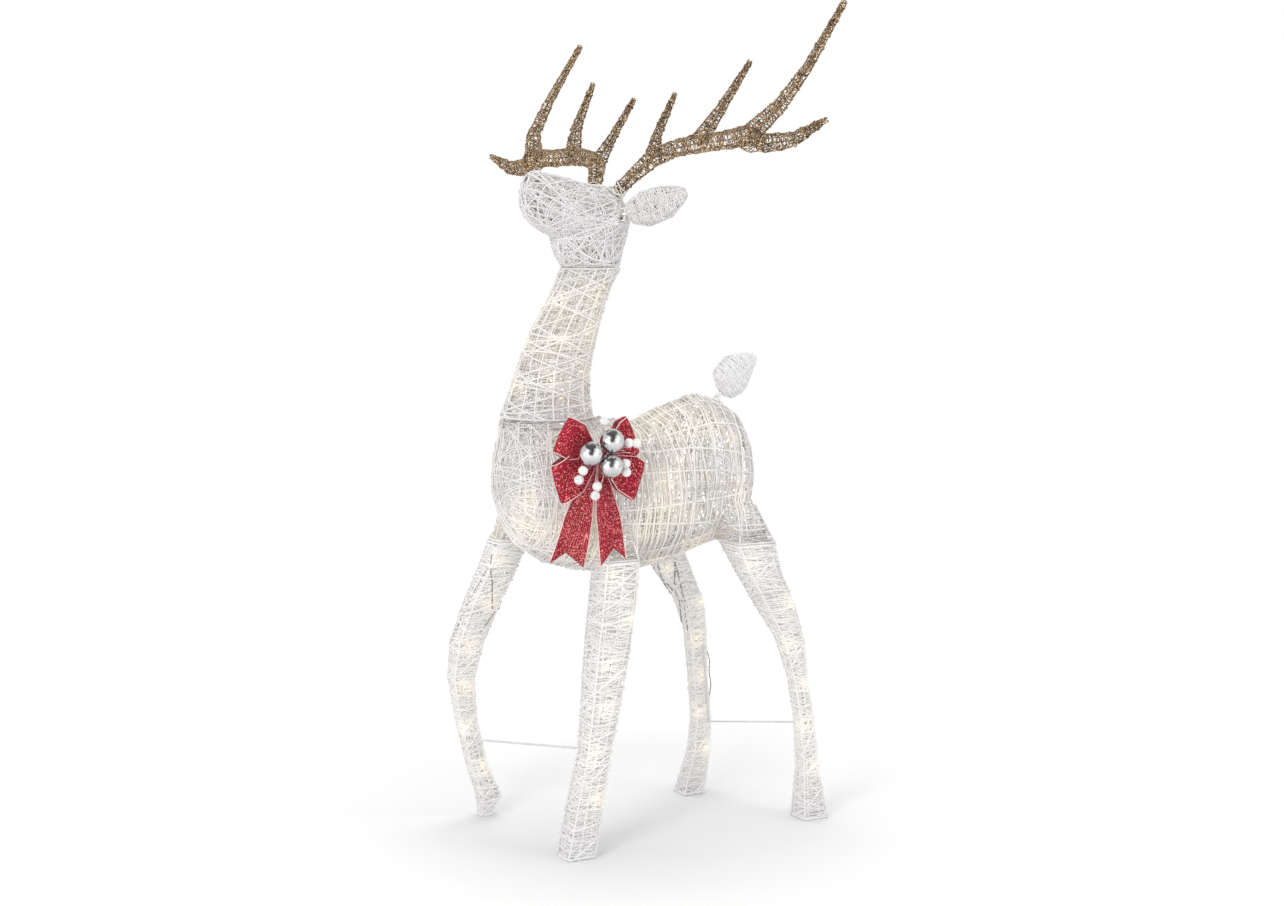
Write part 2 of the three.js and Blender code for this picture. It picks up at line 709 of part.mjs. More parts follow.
// A lamp lead down the middle of a leg, with lamps turned to its two sides by turns.
function legLamps(name) {
  const rings = legRings(LEGS[name]);
  const path = every(13).map((i) => {
    const part = 0.35 + ((rings.length - 2.6) * i) / 12;
    return legMiddle(name, within(rings, part, 0).z);
  });
  const bulbs = every(13, 2, 1).map((i) => {
    const side = i % 4 === 1 ? 1 : -1;
    return lampOn(path[i], path[i + 1], vec(side, 0, 0));
  });
  return joined([wire(path, LAMP_WIRE), ...bulbs]);
}

const legSleeve = (name) => {
  const [x, y, z] = legTop(name);
  return sleeveTube(vec(x, y, z + SEAM + 6 + SLEEVE.length));
};

// A point on a leg's middle line at a height.
function legMiddle(name, height) {
  const k = LEGS[name].findIndex(([, , z]) => z <= height);
  const [high, low] = [LEGS[name][k - 1], LEGS[name][k]];
  const part = (high[2] - height) / (high[2] - low[2]);
  return pointAt(high).lerp(pointAt(low), part);
}

// ---- braces: a thin wire from leg to leg, hooked round the inner side of each ----

const FRONT_BRACE = { left: 182, right: 160 }; // height where it meets each leg
const HIND_BRACE = { left: 180, right: 147, wire_top: 305 };

// The place beside a leg's inner face where a brace ends.
function braceEnd(name, height, rearward = 0) {
  const half = LEGS[name].find(([, , z]) => z <= height)[3] + 4;
  const side = legTop(name)[0] > 0 ? -1 : 1;
  return legMiddle(name, height).add(vec(side * (half + BRACE + GAP), rearward, 0));
}

function frontBrace() {
  const left = braceEnd("front_left", FRONT_BRACE.left);
  const right = braceEnd("front_right", FRONT_BRACE.right);
  const hooks = [left.clone().add(vec(0, 0, 16)), left, right, right.clone().add(vec(0, 0, -16))];
  return wire(hooks, BRACE, { sides: 6 });
}

function hindBrace() {
  const left = braceEnd("hind_left", HIND_BRACE.left);
  const right = braceEnd("hind_right", HIND_BRACE.right, 6);
  const top = braceEnd("hind_right", HIND_BRACE.wire_top, 6);
  return wire([left.clone().add(vec(0, 0, 16)), left, right, top], BRACE, { sides: 6 });
}

// ---- bow: about its knot, with its face towards +X ----

// A ribbon loop that opens out from the knot: a drop-shaped ring, as wide as the ribbon.
function bowLoop(turn) {
  const { loop, puff, ribbon, width } = BOW;
  const drop = (start, throat, belly, end) => {
    const shape = new THREE.Shape();
    shape.moveTo(start, 0);
    shape.bezierCurveTo(40, throat, 60, belly, 78, belly);
    shape.bezierCurveTo(90, belly, end, 10, end, 0);
    shape.bezierCurveTo(end, -10, 90, -belly, 78, -belly);
    shape.bezierCurveTo(60, -belly, 40, -throat, start, 0);
    return shape;
  };
  const band = (shape, over) => {
    const slab = new THREE.ExtrudeGeometry(shape, { depth: 2, bevelEnabled: false, curveSegments: 4 });
    const at = slab.attributes.position;
    for (let i = 0; i < at.count; i++) {
      const half = Math.min(width, 0.54 * at.getX(i)) + over;
      at.setXYZ(i, at.getY(i), at.getX(i), (at.getZ(i) - 1) * half);
    }
    return solidOf(slab.rotateX(THREE.MathUtils.degToRad(turn)));
  };
  return band(drop(15, 7, puff, loop), 0).subtract(band(drop(24, 3, puff - ribbon, loop - ribbon), 2));
}

// A flat cut tail of ribbon that hangs behind the loops. Its outline is in Y and Z.
function bowTail(outline) {
  const shape = new THREE.Shape(outline.map(([y, z]) => new THREE.Vector2(y, z)));
  const strip = new THREE.ExtrudeGeometry(shape, { depth: BOW.ribbon, bevelEnabled: false });
  const upright = new THREE.Matrix4().makeBasis(vec(0, 1, 0), vec(0, 0, 1), vec(1, 0, 0));
  return solidOf(strip.applyMatrix4(upright).translate(BOW.tail_x, 0, 0));
}

const bowKnot = () => solidOf(new THREE.SphereGeometry(1, 10, 8).scale(12, 12.5, 12.5));

const BOW_TIE = { from: -12.6, to: -46, radius: 1.2, pad: 6 };

// The wire tie behind the knot, with a flat coil that lies against the wound cord.
function bowTie() {
  const { from, to, radius, pad } = BOW_TIE;
  const coil = ring(vec(to, 0, 0), vec(0, pad, 0), vec(0, 0, pad), 8);
  const stem = [vec(from, 0, 0), vec(to + 4, 0, 0), coil[0]];
  return joined([wire(stem, radius, { sides: 5 }), wire(coil, radius, { closed: true })]);
}

// A plated ball on a wire pick that reaches back to the front of the knot.
function ball([y, z]) {
  const globe = new THREE.SphereGeometry(BALL.radius, 12, 8).translate(BALL.x, y, z);
  const reach = Math.hypot(y, z);
  const start = vec(13.5, (2.4 * y) / reach, (2.4 * z) / reach);
  return solidOf(globe).add(rod(start, vec(BALL.x, y, z), 1.2, 5));
}

// Berries on thin stems that spread from the knot.
function spray(berries) {
  const sprigs = berries.map(([y, z]) => {
    const reach = Math.hypot(y, z);
    const outward = vec(0, y / reach, z / reach);
    const stem = [
      outward.clone().multiplyScalar(7).setX(13.2),
      outward.clone().multiplyScalar(reach * 0.55).setX(18),
      vec(BERRY.x, y, z),
    ];
    const bead = new THREE.IcosahedronGeometry(BERRY.radius, 1).translate(BERRY.x, y, z);
    return solidOf(bead).add(wire(stem, 0.9));
  });
  const root = berries.map(([y, z]) => vec(13.2, (7 * y) / Math.hypot(y, z), (7 * z) / Math.hypot(y, z)));
  const bind = root.slice(1).map((point) => rod(root[0], point, 0.9));
  return joined([...sprigs, ...bind]);
}

// ---- the assembled reindeer ----

function finish([color, roughness, metalness]) {
  return new THREE.MeshStandardMaterial({ color, roughness, metalness });
}

function add(group, name, solid, look) {
  const mesh = new THREE.Mesh(geometryOf(solid), finish(FINISHES[look]));
  mesh.name = name;
  group.add(mesh);
  return mesh;
}

const group = new THREE.Group();
const reindeer = new THREE.Group();
reindeer.position.set(FOOTPRINT.x, FOOTPRINT.y, 0);
group.add(reindeer);

add(reindeer, "trunk_frame", trunkFrame(), "frame");
add(reindeer, "trunk_lamps", trunkLamps(), "lamps");
add(reindeer, "trunk_wrap", trunkWrap(), "wrap");
add(reindeer, "power_inlet", inlet(), "clear");

const [frontSleeve, rearSleeve] = neckSleeves();
add(reindeer, "neck_sleeve_front", frontSleeve, "frame");
add(reindeer, "neck_sleeve_rear", rearSleeve, "frame");
add(reindeer, "neck_frame", neckFrame(), "frame");
add(reindeer, "neck_lamps", neckLamps(), "lamps");
add(reindeer, "neck_wrap", skin(neck), "wrap");
add(reindeer, "head_sleeve", sleeveTube(headSleevePlace()), "frame");

LEG_NAMES.forEach((name) => {
  add(reindeer, name + "_leg_sleeve", legSleeve(name), "frame");
  add(reindeer, name + "_leg_frame", legFrame(name), "frame");
  add(reindeer, name + "_leg_lamps", legLamps(name), "lamps");
  add(reindeer, name + "_leg_wrap", skin(leg(name)), "wrap");
});
add(reindeer, "front_leg_brace", frontBrace(), "frame");
add(reindeer, "hind_leg_brace", hindBrace(), "frame");

const tail = section(leafRings(TAIL, TAIL_TIP, vec(0, 1, -1)), { end: pointAt(TAIL_TIP) });
add(reindeer, "tail_staple", staple(HINGES.tail), "frame");
add(reindeer, "tail_frame", leafFrame(tail, HINGES.tail), "frame");
add(reindeer, "tail_wrap", skin(tail, WRAP * 0.8), "wrap");

const head = new THREE.Group();
head.position.set(HEAD.x, HEAD.y, 0);
head.rotation.z = THREE.MathUtils.degToRad(HEAD.turn);
reindeer.add(head);

add(head, "head_frame", headFrame(), "frame");
add(head, "head_wrap", headWrap(), "wrap");

const ear = section(leafRings(EAR, EAR_TIP, vec(0, 0.3, -1)), { end: pointAt(EAR_TIP) });
[["left", 1], ["right", -1]].forEach(([side, mirror]) => {
  const half = new THREE.Group();
  half.scale.x = mirror;
  head.add(half);
  add(half, side + "_ear_staple", staple(HINGES.ear), "frame");
  add(half, side + "_ear_frame", leafFrame(ear, HINGES.ear), "frame");
  add(half, side + "_ear_wrap", skin(ear, WRAP * 0.8), "wrap");
  const crown = new THREE.Group();
  crown.position.copy(leant(vec(0, 0, 0)));
  crown.rotation.y = THREE.MathUtils.degToRad(ANTLER_ROLL.degrees);
  const antler = new THREE.Group();
  antler.scale.x = mirror;
  head.add(crown);
  crown.add(antler);
  add(antler, side + "_antler_socket", antlerSocket(), "clear");
  add(antler, side + "_antler_frame", antlerFrame(), "frame");
  add(antler, side + "_antler_wrap", antlerWrap(), "antler");
});

const bow = new THREE.Group();
bow.position.set(BOW.x, BOW.y, BOW.z);
reindeer.add(bow);

add(bow, "bow_knot", bowKnot(), "ribbon");
add(bow, "bow_tie_wire", bowTie(), "silver");
Object.entries(BOW_LOOPS).forEach(([name, turn]) => add(bow, "bow_loop_" + name, bowLoop(turn), "ribbon"));
Object.entries(BOW_TAILS).forEach(([name, outline]) => add(bow, "bow_tail_" + name, bowTail(outline), "ribbon"));
Object.entries(BALLS).forEach(([name, place]) => add(bow, "ball_" + name, ball(place), "silver"));
Object.entries(SPRAYS).forEach(([name, berries]) => add(bow, "berry_spray_" + name, spray(berries), "berry"));

export default group;
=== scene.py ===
"""A standing yard reindeer: wire frames wound in glittered cord, with lamps inside and a warm glow painted
on the cord, and a ribbon bow.

Each wound cover of the frame is replaced by cords laid over its surface. Lengths are in metres; the
reindeer looks along -Y and its left side is +X.
"""

import math
import zlib

import bpy
import numpy as np
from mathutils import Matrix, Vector
from mathutils.bvhtree import BVHTree


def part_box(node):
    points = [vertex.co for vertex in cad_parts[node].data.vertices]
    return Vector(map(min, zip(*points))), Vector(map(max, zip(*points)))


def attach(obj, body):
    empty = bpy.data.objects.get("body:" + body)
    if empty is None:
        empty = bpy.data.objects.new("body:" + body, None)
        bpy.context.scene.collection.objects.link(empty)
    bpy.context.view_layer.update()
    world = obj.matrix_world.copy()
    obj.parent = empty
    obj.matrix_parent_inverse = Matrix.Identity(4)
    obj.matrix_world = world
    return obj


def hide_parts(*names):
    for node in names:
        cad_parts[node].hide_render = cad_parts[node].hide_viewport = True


MM = 0.001

# Cord and wire sizes, as radii.
FINE = 0.95 * MM  # the net that covers every section
STRAND = 1.9 * MM  # the thicker cord over it
ROD = 2.2 * MM  # cord wound close round a frame wire
LEAD = 1.0 * MM  # lamp lead
STEM = 1.1 * MM  # a berry's stem, and the wire in a ribbon's edge
BARE_STEM = 0.8 * MM  # the bare wires between the berries
PICK = 0.7 * MM  # the wire behind a ball

LEGS = ("front_left", "front_right", "hind_left", "hind_right")
LEG_BODY = {"front": "front_legs", "hind": "hind_legs"}

# The middle of the trunk, and how the head stands over it.
TRUNK_MIDDLE = (0.046, 0.640)  # across and height
NECK_SEAT = (-0.189, 0.700)  # the collar that the neck stands on: its middle along Y, and its foot
HEAD_PLACE = (0.026, -0.061)
HEAD_TURN = math.radians(13.8)
SKULL_MIDDLE = (0.0, -0.052, 1.128)  # in the head's own frame
ANTLER_ROLL = (math.radians(-2), 1.180)  # turn, and the height it turns about

# Left antler in the head's frame, in millimetres: points with a radius each.
ANTLER = {
    "beam": [
        (34, 2, 1184, 13), (56, 27, 1214, 16), (80, 51, 1242, 20), (128, 63, 1257, 18),
        (178, 71, 1262, 20), (245, 74, 1263, 19), (307, 76, 1268, 22), (350, 112, 1318, 15),
        (366, 165, 1385, 11), (371, 255, 1503, 7),
    ],
    "brow_tine": [(80, 51, 1242, 19), (66, 74, 1285, 11), (58, 128, 1364, 6)],
    "middle_tine": [(178, 71, 1262, 20), (204, 104, 1320, 12), (223, 164, 1409, 6)],
    "end_tine": [(307, 76, 1268, 14), (345, 82, 1251, 20), (400, 90, 1254, 15), (476, 97, 1283, 6)],
    "knob": [
        (284, 75, 1268, 10), (296, 76, 1265, 23), (312, 78, 1259, 27), (328, 80, 1255, 20),
        (336, 81, 1254, 8),
    ],
}

# The ears in the head's frame and the tail: root, tip, and the way that the leaf is wide.
EAR = ((0.062, -0.001, 1.143), (0.152, 0.076, 1.187), (0.0, 0.3, -1.0))
TAIL = ((0.046, 0.172, 0.806), (0.046, 0.255, 0.880), (0.0, 1.0, -1.0))

# The bow about its knot: Y and Z from the knot, in millimetres, with its face towards +X.
KNOT = Vector((0.204, -0.157, 0.719))
BOW_LOOPS = {  # turn in degrees, length against the longest, and how far its end slants
    "upper_front": (152, 0.91, 0.0), "lower_front": (-150, 1.03, 0.26),
    "upper_rear": (29, 0.78, 0.14), "lower_rear": (-34, 0.98, -0.28),
}
BOW_TAILS = {
    "front": (((-14, -12), (-62, -108), (-92, -190)), ((0, -12), (-8, -110), (-26, -201)), (-60, -172)),
    "rear": (((1, -12), (-2, -108), (9, -201)), ((15, -12), (46, -110), (61, -192)), (36, -170)),
}
TAIL_DEPTH = -15  # where the bow's tails hang, along X from the knot
RIBBON_WIDTH = 68 * MM
TAIL_WIDTH = 50 * MM  # the same ribbon as it hangs, folded at the knot and spread at its foot
KNOT_BAND = (26 * MM, 2 * math.pi * 11 * MM)  # the crossing band: its width, and the way round it
BALLS = {"left": (-37, 8), "top": (4, 29), "right": (2, -15)}
BALL = {"radius": 21.5, "x": 40}
BALL_CAP = ((18.6, 0), (18.6, 5.6), (21.0, 5.2), (23.4, 4.9), (23.9, 4.3), (23.9, 0))  # height, radius
SPRAYS = {
    "front": ((-50, -21), (-58, -37)),
    "lower": ((-23, -50), (-27, -66)),
    "rear": ((33, -13), (34, -28)),
    "upper": ((39, 23), (54, 22), (-9, 63)),
}
SILVER_BERRIES = ((-58, -37), (-27, -66), (-9, 63))
BERRY = {"radius": 8.5, "x": 36}

PAINTED_LAMP_GLOW = ((16 * MM, 1.0), (50 * MM, 0.3))  # how far round a lamp its painted warm glow reaches on the cord, and how strong it is


def seeded(name):
    """A random source of its own for each piece, the same at every run."""
    return np.random.default_rng(zlib.crc32(name.encode()))


# ---- shader node groups ----


def group(name, sockets_in, sockets_out):
    """An empty node group with float, colour or vector sockets, as {name: (kind, default)}."""
    tree = bpy.data.node_groups.new(name, "ShaderNodeTree")
    for label, (kind, default) in sockets_in.items():
        socket = tree.interface.new_socket(label, in_out="INPUT", socket_type="NodeSocket" + kind)
        if default is not None:
            socket.default_value = default
    for label, kind in sockets_out.items():
        tree.interface.new_socket(label, in_out="OUTPUT", socket_type="NodeSocket" + kind)
    return tree, tree.nodes.new("NodeGroupInput"), tree.nodes.new("NodeGroupOutput")


def feed(tree, socket, value):
    """Gives a socket a link or a number."""
    if isinstance(value, bpy.types.NodeSocket):
        tree.links.new(value, socket)
    else:
        socket.default_value = value


def maths(tree, operation, *values):
    """A Math node's output. The values are sockets or numbers."""
    node = tree.nodes.new("ShaderNodeMath")
    node.operation = operation
    for socket, value in zip(node.inputs, values):
        feed(tree, socket, value)
    return node.outputs[0]


def mix(tree, factor, a, b):
    """A colour Mix node's output. a and b are sockets or (red, green, blue)."""
    node = tree.nodes.new("ShaderNodeMix")
    node.data_type = "RGBA"
    feed(tree, node.inputs[0], factor)
    for index, colour in ((6, a), (7, b)):
        feed(tree, node.inputs[index], (*colour, 1) if isinstance(colour, tuple) else colour)
    return node.outputs[2]


def ramp(tree, value, low, high):
    """0 below low, 1 above high, smooth between."""
    node = tree.nodes.new("ShaderNodeMapRange")
    node.interpolation_type = "SMOOTHSTEP"
    feed(tree, node.inputs["Value"], value)
    node.inputs["From Min"].default_value = low
    node.inputs["From Max"].default_value = high
    return node.outputs["Result"]


def texture(tree, kind, vector, scale):
    """A Noise or Voronoi node over a coordinate."""
    node = tree.nodes.new("ShaderNodeTex" + kind)
    tree.links.new(vector, node.inputs["Vector"])
    feed(tree, node.inputs["Scale"], scale)
    return node


def glitter_group():
    """Flakes stuck on the cord: a mask of bright flakes, and a height that tips each one its own way."""
    tree, given, out = group(
        "glitter_flakes",
        {"Vector": ("Vector", None), "Scale": ("Float", 900.0), "Share": ("Float", 0.25)},
        {"Flake": "Float", "Height": "Float"},
    )
    cells = texture(tree, "Voronoi", given.outputs["Vector"], given.outputs["Scale"])
    split = tree.nodes.new("ShaderNodeSeparateColor")
    tree.links.new(cells.outputs["Color"], split.inputs["Color"])
    flake = maths(tree, "LESS_THAN", split.outputs["Red"], given.outputs["Share"])
    tree.links.new(flake, out.inputs["Flake"])
    tilt = maths(tree, "MULTIPLY", split.outputs["Green"], cells.outputs["Distance"])
    tree.links.new(maths(tree, "MULTIPLY", tilt, flake), out.inputs["Height"])
    return tree


def twist_group():
    """Plies of a twisted cord, from its own length and turn: a height, and a mask of painted shade in the
    grooves between plies.
    """
    tree, given, out = group(
        "cord_plies",
        {"Pitch": ("Float", 4 * MM), "Plies": ("Float", 3.0)},
        {"Height": "Float", "Painted Groove Shade": "Float"},
    )
    place = tree.nodes.new("ShaderNodeUVMap")
    place.uv_map = "cord"
    split = tree.nodes.new("ShaderNodeSeparateXYZ")
    tree.links.new(place.outputs["UV"], split.inputs["Vector"])
    along = maths(tree, "DIVIDE", split.outputs["Y"], given.outputs["Pitch"])
    around = maths(tree, "MULTIPLY", split.outputs["X"], given.outputs["Plies"])
    turn = maths(tree, "MULTIPLY", maths(tree, "ADD", along, around), 2 * math.pi)
    wave = maths(tree, "MULTIPLY_ADD", maths(tree, "SINE", turn), 0.5, 0.5)
    tree.links.new(wave, out.inputs["Height"])
    tree.links.new(maths(tree, "POWER", maths(tree, "SUBTRACT", 1.0, wave), 2.0), out.inputs["Painted Groove Shade"])
    return tree


def patches_group():
    """Slow patches of tone, as from handling, dust and uneven dye."""
    tree, given, out = group(
        "uneven_tone",
        {"Vector": ("Vector", None), "Scale": ("Float", 30.0)},
        {"Patch": "Float", "Fleck": "Float"},
    )
    slow = texture(tree, "Noise", given.outputs["Vector"], given.outputs["Scale"])
    tree.links.new(ramp(tree, slow.outputs["Fac"], 0.35, 0.68), out.inputs["Patch"])
    quicker = maths(tree, "MULTIPLY", given.outputs["Scale"], 14.0)
    quick = texture(tree, "Noise", given.outputs["Vector"], quicker)
    tree.links.new(ramp(tree, quick.outputs["Fac"], 0.52, 0.7), out.inputs["Fleck"])
    return tree


def weave_group():
    """Open glitter weave: thread height, and a mask that is 0 in the holes between threads."""
    tree, given, out = group(
        "open_weave",
        {"Threads": ("Float", 550.0), "Open": ("Float", 0.2)},
        {"Height": "Float", "Cover": "Float"},
    )
    place = tree.nodes.new("ShaderNodeUVMap")
    place.uv_map = "ribbon"
    split = tree.nodes.new("ShaderNodeSeparateXYZ")
    tree.links.new(place.outputs["UV"], split.inputs["Vector"])
    threads = []
    for axis in ("X", "Y"):
        turn = maths(tree, "MULTIPLY", split.outputs[axis], given.outputs["Threads"])
        wave = maths(tree, "SINE", maths(tree, "MULTIPLY", turn, math.pi))
        threads.append(maths(tree, "ABSOLUTE", wave))
    height = maths(tree, "MAXIMUM", *threads)
    tree.links.new(height, out.inputs["Height"])
    tree.links.new(maths(tree, "GREATER_THAN", height, given.outputs["Open"]), out.inputs["Cover"])
    return tree


GROUPS = {}


def build_groups():
    """Makes the shared effects, once."""
    GROUPS["glitter"] = glitter_group()
    GROUPS["twist"] = twist_group()
    GROUPS["patches"] = patches_group()
    GROUPS["weave"] = weave_group()


def placed(tree, name, **values):
    """A node group placed in a material, with its own values."""
    node = tree.nodes.new("ShaderNodeGroup")
    node.node_tree = GROUPS[name]
    for key, value in values.items():
        feed(tree, node.inputs[key], value)
    return node.outputs


def started(name):
    """A new material: its tree, its Principled shader and the piece's own coordinates."""
    material = bpy.data.materials.new(name)
    material.use_nodes = True
    tree = material.node_tree
    shader = tree.nodes["Principled BSDF"]
    own = tree.nodes.new("ShaderNodeTexCoord").outputs["Object"]
    return material, tree, shader, own


def raised(tree, shader, height, strength, distance):
    """Feeds a height through a Bump node to the shader's normal."""
    bump = tree.nodes.new("ShaderNodeBump")
    bump.inputs["Strength"].default_value = strength
    bump.inputs["Distance"].default_value = distance
    tree.links.new(height, bump.inputs["Height"])
    tree.links.new(bump.outputs["Normal"], shader.inputs["Normal"])


def attribute(tree, name):
    """A value that the mesh carries at each point."""
    node = tree.nodes.new("ShaderNodeAttribute")
    node.attribute_name = name
    return node.outputs["Fac"]


# ---- materials ----


def cord_material(name, light, dark, flake_colour, share, through=None, size=1.2 * MM):
    """Twisted cord with glitter flakes of a size, over a share of it.

    through is a constant glow painted on the cord, standing in for light that comes through it; the glow
    is painted warmer where a lamp is near.
    """
    material, tree, shader, own = started(name)
    flakes = placed(tree, "glitter", Vector=own, Scale=1 / size, Share=share)
    plies = placed(tree, "twist", Pitch=5 * MM, Plies=2.0)
    tone = placed(tree, "patches", Vector=own, Scale=26.0)
    base = mix(tree, attribute(tree, "tone"), light, dark)
    base = mix(tree, maths(tree, "MULTIPLY", tone["Patch"], 0.25), base, dark)
    base = mix(tree, maths(tree, "MULTIPLY", tone["Fleck"], 0.5), base, dark)
    # Painted shade: the grooves between plies are darkened.
    base = mix(tree, maths(tree, "MULTIPLY", plies["Painted Groove Shade"], 0.45), base, dark)
    feed(tree, shader.inputs["Base Color"], mix(tree, flakes["Flake"], base, flake_colour))
    feed(tree, shader.inputs["Metallic"], maths(tree, "MULTIPLY", flakes["Flake"], 0.85))
    feed(tree, shader.inputs["Roughness"], maths(tree, "MULTIPLY_ADD", flakes["Flake"], -0.5, 0.78))
    height = maths(tree, "ADD", plies["Height"], maths(tree, "MULTIPLY", flakes["Height"], 2.0))
    raised(tree, shader, height, 0.6, 0.4 * MM)
    # Painted light: the cord glows though it is no lamp, evenly by through, and warmer where the painted
    # lamp glow is high.
    if through is not None:
        painted_even_glow = (through, through * 0.98, through * 0.96)
        painted_warm_glow = (through + 0.18, through + 0.15, through + 0.085)
        feed(tree, shader.inputs["Emission Color"], mix(tree, attribute(tree, "painted_lamp_glow"), painted_even_glow, painted_warm_glow))
        shader.inputs["Emission Strength"].default_value = 1.0
    material.cycles.emission_sampling = "NONE"
    return material


def coated_wire_material(name, light, dark):
    """Coated steel wire: a slight orange-peel coat, dulled and chipped in places."""
    material, tree, shader, own = started(name)
    tone = placed(tree, "patches", Vector=own, Scale=45.0)
    base = mix(tree, maths(tree, "MULTIPLY", tone["Patch"], 0.5), light, dark)
    chip = maths(tree, "MULTIPLY", tone["Fleck"], 0.35)
    feed(tree, shader.inputs["Base Color"], mix(tree, chip, base, (0.42, 0.42, 0.43)))
    feed(tree, shader.inputs["Roughness"], maths(tree, "MULTIPLY_ADD", tone["Patch"], 0.25, 0.35))
    raised(tree, shader, texture(tree, "Noise", own, 1400.0).outputs["Fac"], 0.25, 0.2 * MM)
    shader.inputs["Coat Weight"].default_value = 0.2
    return material


def bright_wire_material(name, light, dark):
    """Soft bright wire with drawn streaks and fine scuffs."""
    material, tree, shader, own = started(name)
    tone = placed(tree, "patches", Vector=own, Scale=90.0)
    feed(tree, shader.inputs["Base Color"], mix(tree, tone["Patch"], light, dark))
    feed(tree, shader.inputs["Roughness"], maths(tree, "MULTIPLY_ADD", tone["Fleck"], 0.3, 0.28))
    raised(tree, shader, texture(tree, "Noise", own, 2200.0).outputs["Fac"], 0.2, 0.1 * MM)
    shader.inputs["Metallic"].default_value = 0.85
    return material


def lead_material(name, light, dark, alpha):
    """Clear lamp lead and plastic, a little cloudy, with mould flecks."""
    material, tree, shader, own = started(name)
    tone = placed(tree, "patches", Vector=own, Scale=60.0)
    feed(tree, shader.inputs["Base Color"], mix(tree, tone["Patch"], light, dark))
    feed(tree, shader.inputs["Roughness"], maths(tree, "MULTIPLY_ADD", tone["Fleck"], 0.25, 0.18))
    feed(tree, shader.inputs["Alpha"], maths(tree, "MULTIPLY_ADD", tone["Patch"], 0.15, alpha))
    raised(tree, shader, tone["Fleck"], 0.15, 0.1 * MM)
    return material


def lamp_material():
    """Warm white lamp, glowing evenly, in small patches of two warm tones."""
    material, tree, shader, own = started("warm_lamp")
    tone = placed(tree, "patches", Vector=own, Scale=300.0)
    lit = mix(tree, tone["Patch"], (1.0, 0.88, 0.58), (1.0, 0.80, 0.42))
    feed(tree, shader.inputs["Base Color"], lit)
    feed(tree, shader.inputs["Emission Color"], lit)
    shader.inputs["Emission Strength"].default_value = 1.4
    feed(tree, shader.inputs["Roughness"], maths(tree, "MULTIPLY_ADD", tone["Fleck"], 0.2, 0.15))
    material.cycles.emission_sampling = "NONE"
    return material


def ribbon_material(name, light, dark, flake_colour, open_share):
    """Open woven ribbon, every thread carrying red glitter."""
    material, tree, shader, own = started(name)
    flakes = placed(tree, "glitter", Vector=own, Scale=700.0, Share=0.13)
    weave = placed(tree, "weave", Threads=300.0, Open=open_share)
    tone = placed(tree, "patches", Vector=own, Scale=40.0)
    # Painted shade: each thread is darker where the weave is low, towards its edges round each hole.
    base = mix(tree, weave["Height"], dark, light)
    base = mix(tree, maths(tree, "MULTIPLY", tone["Patch"], 0.35), base, dark)
    feed(tree, shader.inputs["Base Color"], mix(tree, flakes["Flake"], base, flake_colour))
    feed(tree, shader.inputs["Metallic"], maths(tree, "MULTIPLY", flakes["Flake"], 0.7))
    feed(tree, shader.inputs["Roughness"], maths(tree, "MULTIPLY_ADD", flakes["Flake"], -0.4, 0.75))
    feed(tree, shader.inputs["Alpha"], weave["Cover"])
    height = maths(tree, "ADD", weave["Height"], maths(tree, "MULTIPLY", flakes["Height"], 2.0))
    raised(tree, shader, height, 0.7, 0.5 * MM)
    shader.inputs["Specular IOR Level"].default_value = 0.25
    return material


def plated_material():
    """Mirror plating with faint ripples and handling haze."""
    material, tree, shader, own = started("silver_plating")
    tone = placed(tree, "patches", Vector=own, Scale=70.0)
    base = mix(tree, tone["Patch"], (0.60, 0.605, 0.615), (0.52, 0.525, 0.535))
    feed(tree, shader.inputs["Base Color"], base)
    feed(tree, shader.inputs["Roughness"], maths(tree, "MULTIPLY_ADD", tone["Patch"], 0.07, 0.17))
    raised(tree, shader, texture(tree, "Noise", own, 60.0).outputs["Fac"], 0.12, 0.6 * MM)
    shader.inputs["Metallic"].default_value = 1.0
    return material


def berry_material(name, light, dark):
    """Frosted berry with a sugar of fine white beads."""
    material, tree, shader, own = started(name)
    flakes = placed(tree, "glitter", Vector=own, Scale=1100.0, Share=0.4)
    tone = placed(tree, "patches", Vector=own, Scale=120.0)
    base = mix(tree, tone["Patch"], light, dark)
    feed(tree, shader.inputs["Base Color"], mix(tree, flakes["Flake"], base, (0.85, 0.84, 0.84)))
    feed(tree, shader.inputs["Roughness"], maths(tree, "MULTIPLY_ADD", flakes["Flake"], -0.3, 0.6))
    raised(tree, shader, flakes["Height"], 0.6, 0.5 * MM)
    shader.inputs["Subsurface Weight"].default_value = 0.1
    shader.inputs["Subsurface Radius"].default_value = (0.004, 0.003, 0.002)
    return material


def floor_material():
    """Plain pale floor with the faintest grain, and a painted glow that grows away from the reindeer."""
    material, tree, shader, own = started("pale_floor")
    tone = placed(tree, "patches", Vector=own, Scale=3.0)
    base = mix(tree, tone["Patch"], (0.685, 0.685, 0.685), (0.675, 0.675, 0.675))
    feed(tree, shader.inputs["Base Color"], base)
    reach = tree.nodes.new("ShaderNodeVectorMath")
    reach.operation = "LENGTH"
    tree.links.new(own, reach.inputs[0])
    # Painted light: the floor glows more the further it is from the reindeer.
    far = ramp(tree, reach.outputs["Value"], 0.3, 1.7)
    feed(tree, shader.inputs["Emission Color"], mix(tree, far, (0.0, 0.0, 0.0), (0.34, 0.34, 0.34)))
    shader.inputs["Emission Strength"].default_value = 1.0
    material.cycles.emission_sampling = "NONE"
    shader.inputs["Roughness"].default_value = 0.9
    shader.inputs["Specular IOR Level"].default_value = 0.1
    return material


